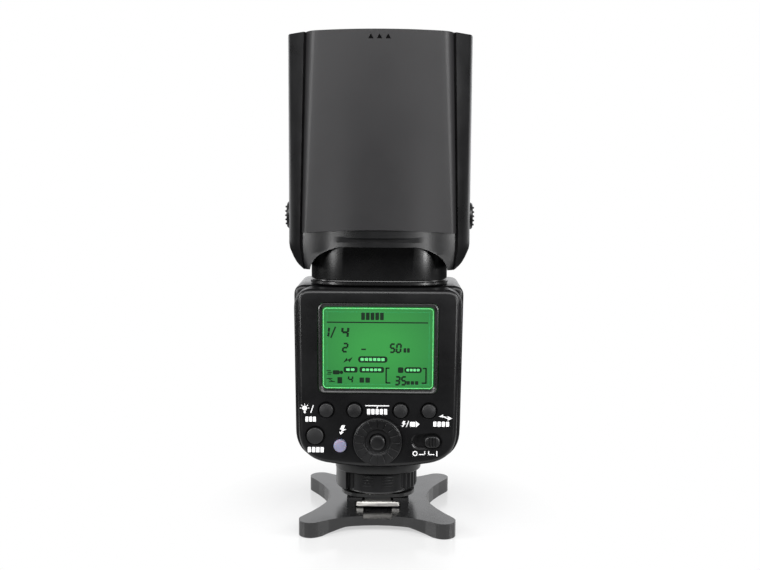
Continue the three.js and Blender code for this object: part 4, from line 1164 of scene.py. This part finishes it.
# ------ front, sides and lens end
def battery_door_grip():
    """Raised finger ribs and a direction arrow on the sliding battery door."""
    parts = []
    for row in range(7):
        z = 56.0 - row * 1.7
        x = body_side_x(z)
        outline = rounded_rect(15 - 0.7 * abs(row - 3), 0.8, 0.38, DOOR_MIDDLE, z, 4)
        parts.append(slab("rib", outline, "x", [(x - 0.6, 0), (x + 0.25, 0), (x + 0.5, 0.2)]))
    x = body_side_x(43)
    arrow = [(DOOR_MIDDLE - 2.6, 42.2), (DOOR_MIDDLE, 39.6), (DOOR_MIDDLE + 2.6, 42.2)]
    parts.append(slab("arrow", arrow, "x", [(x - 0.7, 0), (x + 0.12, 0)]))
    dress(soften(merge("door_ribs", *parts), 0.1, 2, 40), "battery_door", "casing_plastic")


def port_grip():
    """Finger lip and two moulded rings on the rubber socket cover."""
    x = -body_side_x(48)
    parts = [slab("lip", rounded_rect(9, 1.6, 0.8, -1, 48.2, 5), "x", [(x + 0.5, 0), (x - 0.7, 0.3)])]
    for z in (53.5, 66.5):
        x = -body_side_x(z)
        profile = [(2.6, 0.6 - body_side_x(60)), (2.6, x - 0.1), (2.2, x - 0.3)]
        parts.append(lathe("socket_ring", profile, "x", (-1, z), 32))
    dress(soften(merge("port_lip", *parts), 0.12, 2, 40), "port_cover", "soft_key")


def front_window():
    """Dark red window with a black frame, and the sensor eye above it."""
    window = corners("af_window")[1].y - AXIS_Y
    outer = rounded_rect(43.4, 25.4, 5, 0, WINDOW_Z, 8)
    inner = rounded_rect(39.4, 21.4, 3.5, 0, WINDOW_Z, 8)
    levels = [(outer, 0, BODY_FRONT - 0.6), (outer, 0, BODY_FRONT + 0.35), (inner, 0, window + 0.25)]
    levels.append((inner, 0, BODY_FRONT - 0.6))
    dress(soften(frame_loft("window_frame", levels), 0.15, 2, 30), "body", "bezel_gloss")
    profile = [(3.2, BODY_FRONT - 0.5), (3.2, BODY_FRONT + 0.3), (2.7, BODY_FRONT + 0.6)]
    dress(soften(lathe("sensor_eye", profile, "y", (0, 82), 48), 0.15, 2, 30), "body", "bezel_gloss")
    profile = [(2.3, BODY_FRONT), (2.3, BODY_FRONT + 0.7), (1.3, BODY_FRONT + 1.0)]
    dress(smooth(lathe("sensor_glass", profile, "y", (0, 82), 48), 50), "body", "red_window")


LENS_LOW, LENS_HIGH = corners("fresnel_lens")
LENS_MIDDLE = (LENS_LOW.y + LENS_HIGH.y) / 2 - AXIS_Y
LENS_LINES = 25


def fresnel_lens():
    """Clear plate with fine raised lines, whose steep sides face away from the middle."""
    depth = LENS_HIGH.y - LENS_LOW.y
    width = LENS_HIGH.x - LENS_LOW.x
    top = LENS_HIGH.z
    outline = rounded_rect(width, depth, 2.8, 0, LENS_MIDDLE)
    parts = [slab("lens", outline, "z", [(LENS_LOW.z, 0), (top - 0.5, 0), (top - 0.3, 0.2)])]
    for i in range(LENS_LINES):
        share = 2 * (i + 0.5) / LENS_LINES - 1
        y = LENS_MIDDLE + share * (depth / 2 - 1.2)
        profile = [(y - 0.5, top - 0.4), (y + 0.5, top - 0.4), (y + math.copysign(0.5, share), top + 0.1)]
        parts.append(slab("line", profile, "x", [(-width / 2 + 1.5, 0), (width / 2 - 1.5, 0)]))
    dress(merge("lens_plate", *parts), "head", "lens_clear", "fresnel_lens")


def lens_rim():
    """Black frame round the lens with a step down to it."""
    low, high = corners("lens_bezel")
    outline = rounded_rect(high.x - low.x, high.y - low.y, 3.4, 0, (high.y + low.y) / 2 - AXIS_Y, 8)
    rim = slab("lens_frame", outline, "z", rounded_steps(low.z, high.z, 0, 0.5, 3))
    opening = rounded_rect(58.0, 35.4, 3, 0, LENS_MIDDLE, 8)
    carve(rim, slab("opening", opening, "z", [(low.z - 1, 0), (high.z - 1.0, 0), (high.z + 0.2, -1.2)]))
    dress(soften(rim, 0.15, 2, 30), "head", "casing_plastic", "lens_bezel")


def wide_panel():
    """Clear slide-out diffuser with rows of small prisms and a finger tab."""
    low, high = corners("wide_panel")
    y0, y1 = low.y - AXIS_Y, high.y - AXIS_Y
    sheet = y1 - 1.2
    parts = [box("sheet", low.x + 1, high.x - 1, sheet, y1, low.z, high.z - 0.4)]
    tab = rounded_rect(10, y1 - y0, 0.5, 0, (y0 + y1) / 2)
    parts.append(slab("tab", tab, "z", [(high.z - 3.8, 0), (high.z, 0.2)]))
    for row in range(12):
        z = low.z + 2.4 + row * 3.7
        profile = [(sheet, z - 1.5), (sheet - 0.3, z), (sheet, z + 1.5)]
        parts.append(slab("prism", profile, "x", [(low.x + 3, 0), (high.x - 3, 0)]))
    dress(merge("diffuser", *parts), "wide_panel", "lens_clear", "wide_panel")


body_shell()
rear_cover()
lcd_frame()
lcd_marks()
lcd_rim()
cover_marks()
keys()
select_dial()
set_button()
power_switch()
foot_block()
lock_ring()
shoe()
battery_door_grip()
port_grip()
front_window()
fresnel_lens()
lens_rim()
wide_panel()


# ------ camera, floor and light
CAMERA_TURN = math.radians(0.8)
CAMERA_ROLL = math.radians(-0.32)
CAMERA_PITCH = math.radians(83.4)
CAMERA_DISTANCE = 0.402
CAMERA_HEIGHT = 0.1458

FLOOR_MIDDLE = 100
FLOOR_RADIUS = 180
FLOOR_REACH = 0.1

WHITE = (1, 1, 1, 1)
WALL_LIGHT = 1.25
FRONT_LIGHT = 0.25
FRONT_LOW = -0.06
FRONT_HIGH = 0.2
ROOM_LOW = 0.02
ROOM_HIGH = 0.3


def camera():
    lens = bpy.data.cameras.new("camera")
    lens.lens = 45
    lens.sensor_width = 36
    lens.dof.use_dof = False
    view = new_object("camera", lens)
    across = CAMERA_DISTANCE * math.sin(CAMERA_TURN)
    view.location = (across, -CAMERA_DISTANCE * math.cos(CAMERA_TURN), CAMERA_HEIGHT)
    view.rotation_euler = (CAMERA_PITCH, CAMERA_ROLL, CAMERA_TURN)
    bpy.context.scene.camera = view


def mix_into(tree, output, factor, first, second):
    """Sends a mix of two shaders to an output node."""
    mix = tree.nodes.new("ShaderNodeMixShader")
    for socket, source in zip(mix.inputs, (factor, first, second)):
        tree.links.new(source, socket)
    tree.links.new(mix.outputs["Shader"], tree.nodes[output].inputs["Surface"])


def floor():
    """Pale table: real and slightly glossy under the object, fading into pure white further out."""
    rim = [(x, y + FLOOR_MIDDLE, -0.2) for x, y in circle(FLOOR_RADIUS, segments=128)]
    ground = mesh_from("floor", rim, [tuple(range(len(rim)))])
    material = moulded("floor_card", (0.62, 0.62, 0.62), 0.16, 600, 0.01, 0.04, 0.5, 1.02)
    tree = material.node_tree
    scale = {"Scale": (1 / FLOOR_REACH, 1 / FLOOR_REACH, 1)}
    place = add_node(tree, "Mapping", scale, {"Vector": object_place(tree)})
    spread = add_node(tree, "TexGradient", {}, {"Vector": place.outputs["Vector"]})
    spread.gradient_type = "SPHERICAL"
    near = add_range(tree, spread.outputs["Fac"], 0.0, 0.5, 0.2, 0.55)
    white = add_node(tree, "Emission", {"Color": WHITE}).outputs["Emission"]
    mix_into(tree, "Material Output", near, white, tree.nodes["Principled BSDF"].outputs["BSDF"])
    ground.data.materials.append(material)


def join_values(tree, operation, first, second):
    node = tree.nodes.new("ShaderNodeMath")
    node.operation = operation
    tree.links.new(first, node.inputs[0])
    tree.links.new(second, node.inputs[1])
    return node.outputs["Value"]


def world():
    """White where the camera looks past the object; else a dim room with two bright regions.

    One lies low behind the object and the other is a tall panel of light in front of it.
    """
    room = bpy.data.worlds.new("room")
    bpy.context.scene.world = room
    room.use_nodes = True
    tree = room.node_tree
    place = tree.nodes.new("ShaderNodeTexCoord").outputs["Generated"]
    axes = add_node(tree, "SeparateXYZ", {}, {"Vector": place}).outputs
    above = add_range(tree, axes["Z"], 0.0, 1.0, -0.1, -0.02)
    behind = add_range(tree, axes["Y"], 0.0, WALL_LIGHT, 0.5, 0.85)
    wall = join_values(tree, "MULTIPLY", above, behind)
    height = add_range(tree, axes["Z"], 0.0, 1.0, FRONT_LOW, FRONT_HIGH)
    ahead = add_range(tree, axes["Y"], FRONT_LIGHT, 0.0, -0.7, -0.4)
    front = join_values(tree, "MULTIPLY", height, ahead)
    ceiling = add_range(tree, axes["Z"], ROOM_LOW, ROOM_HIGH, -0.2, 1.0)
    total = join_values(tree, "ADD", join_values(tree, "ADD", wall, front), ceiling)
    lit = wire(tree, tree.nodes["Background"], {"Color": (0.98, 0.985, 1.0, 1)}, {"Strength": total})
    white = add_node(tree, "Background", {"Color": WHITE, "Strength": 1.0})
    seen = tree.nodes.new("ShaderNodeLightPath").outputs["Is Camera Ray"]
    mix_into(tree, "World Output", seen, lit.outputs["Background"], white.outputs["Background"])


def softbox(name, location, aim, width, height, power):
    light = bpy.data.lights.new(name, "AREA")
    light.shape = "RECTANGLE"
    light.size = width
    light.size_y = height
    light.energy = power
    lamp = new_object(name, light)
    lamp.location = location
    lamp.rotation_euler = (Vector(aim) - Vector(location)).to_track_quat("-Z", "Y").to_euler()


def lights():
    """One broad box above the camera, and at each side a strip for the head's edges and one for the neck."""
    softbox("overhead", (0, -0.45, 0.42), (0, 0, 0.17), 1.0, 0.25, 4.5)
    for side, neck_power in ((-1, 0.5), (1, 0.7)):
        softbox("edge_strip", (side * 0.53, -0.2, 0.28), (0, 0, 0.16), 0.14, 0.4, 2.6)
        softbox("neck_strip", (side * 0.34, -0.5, 0.05), (0, 0, 0.11), 0.06, 0.07, neck_power)


camera()
floor()
world()
lights()
bpy.context.scene.view_settings.view_transform = "Standard"
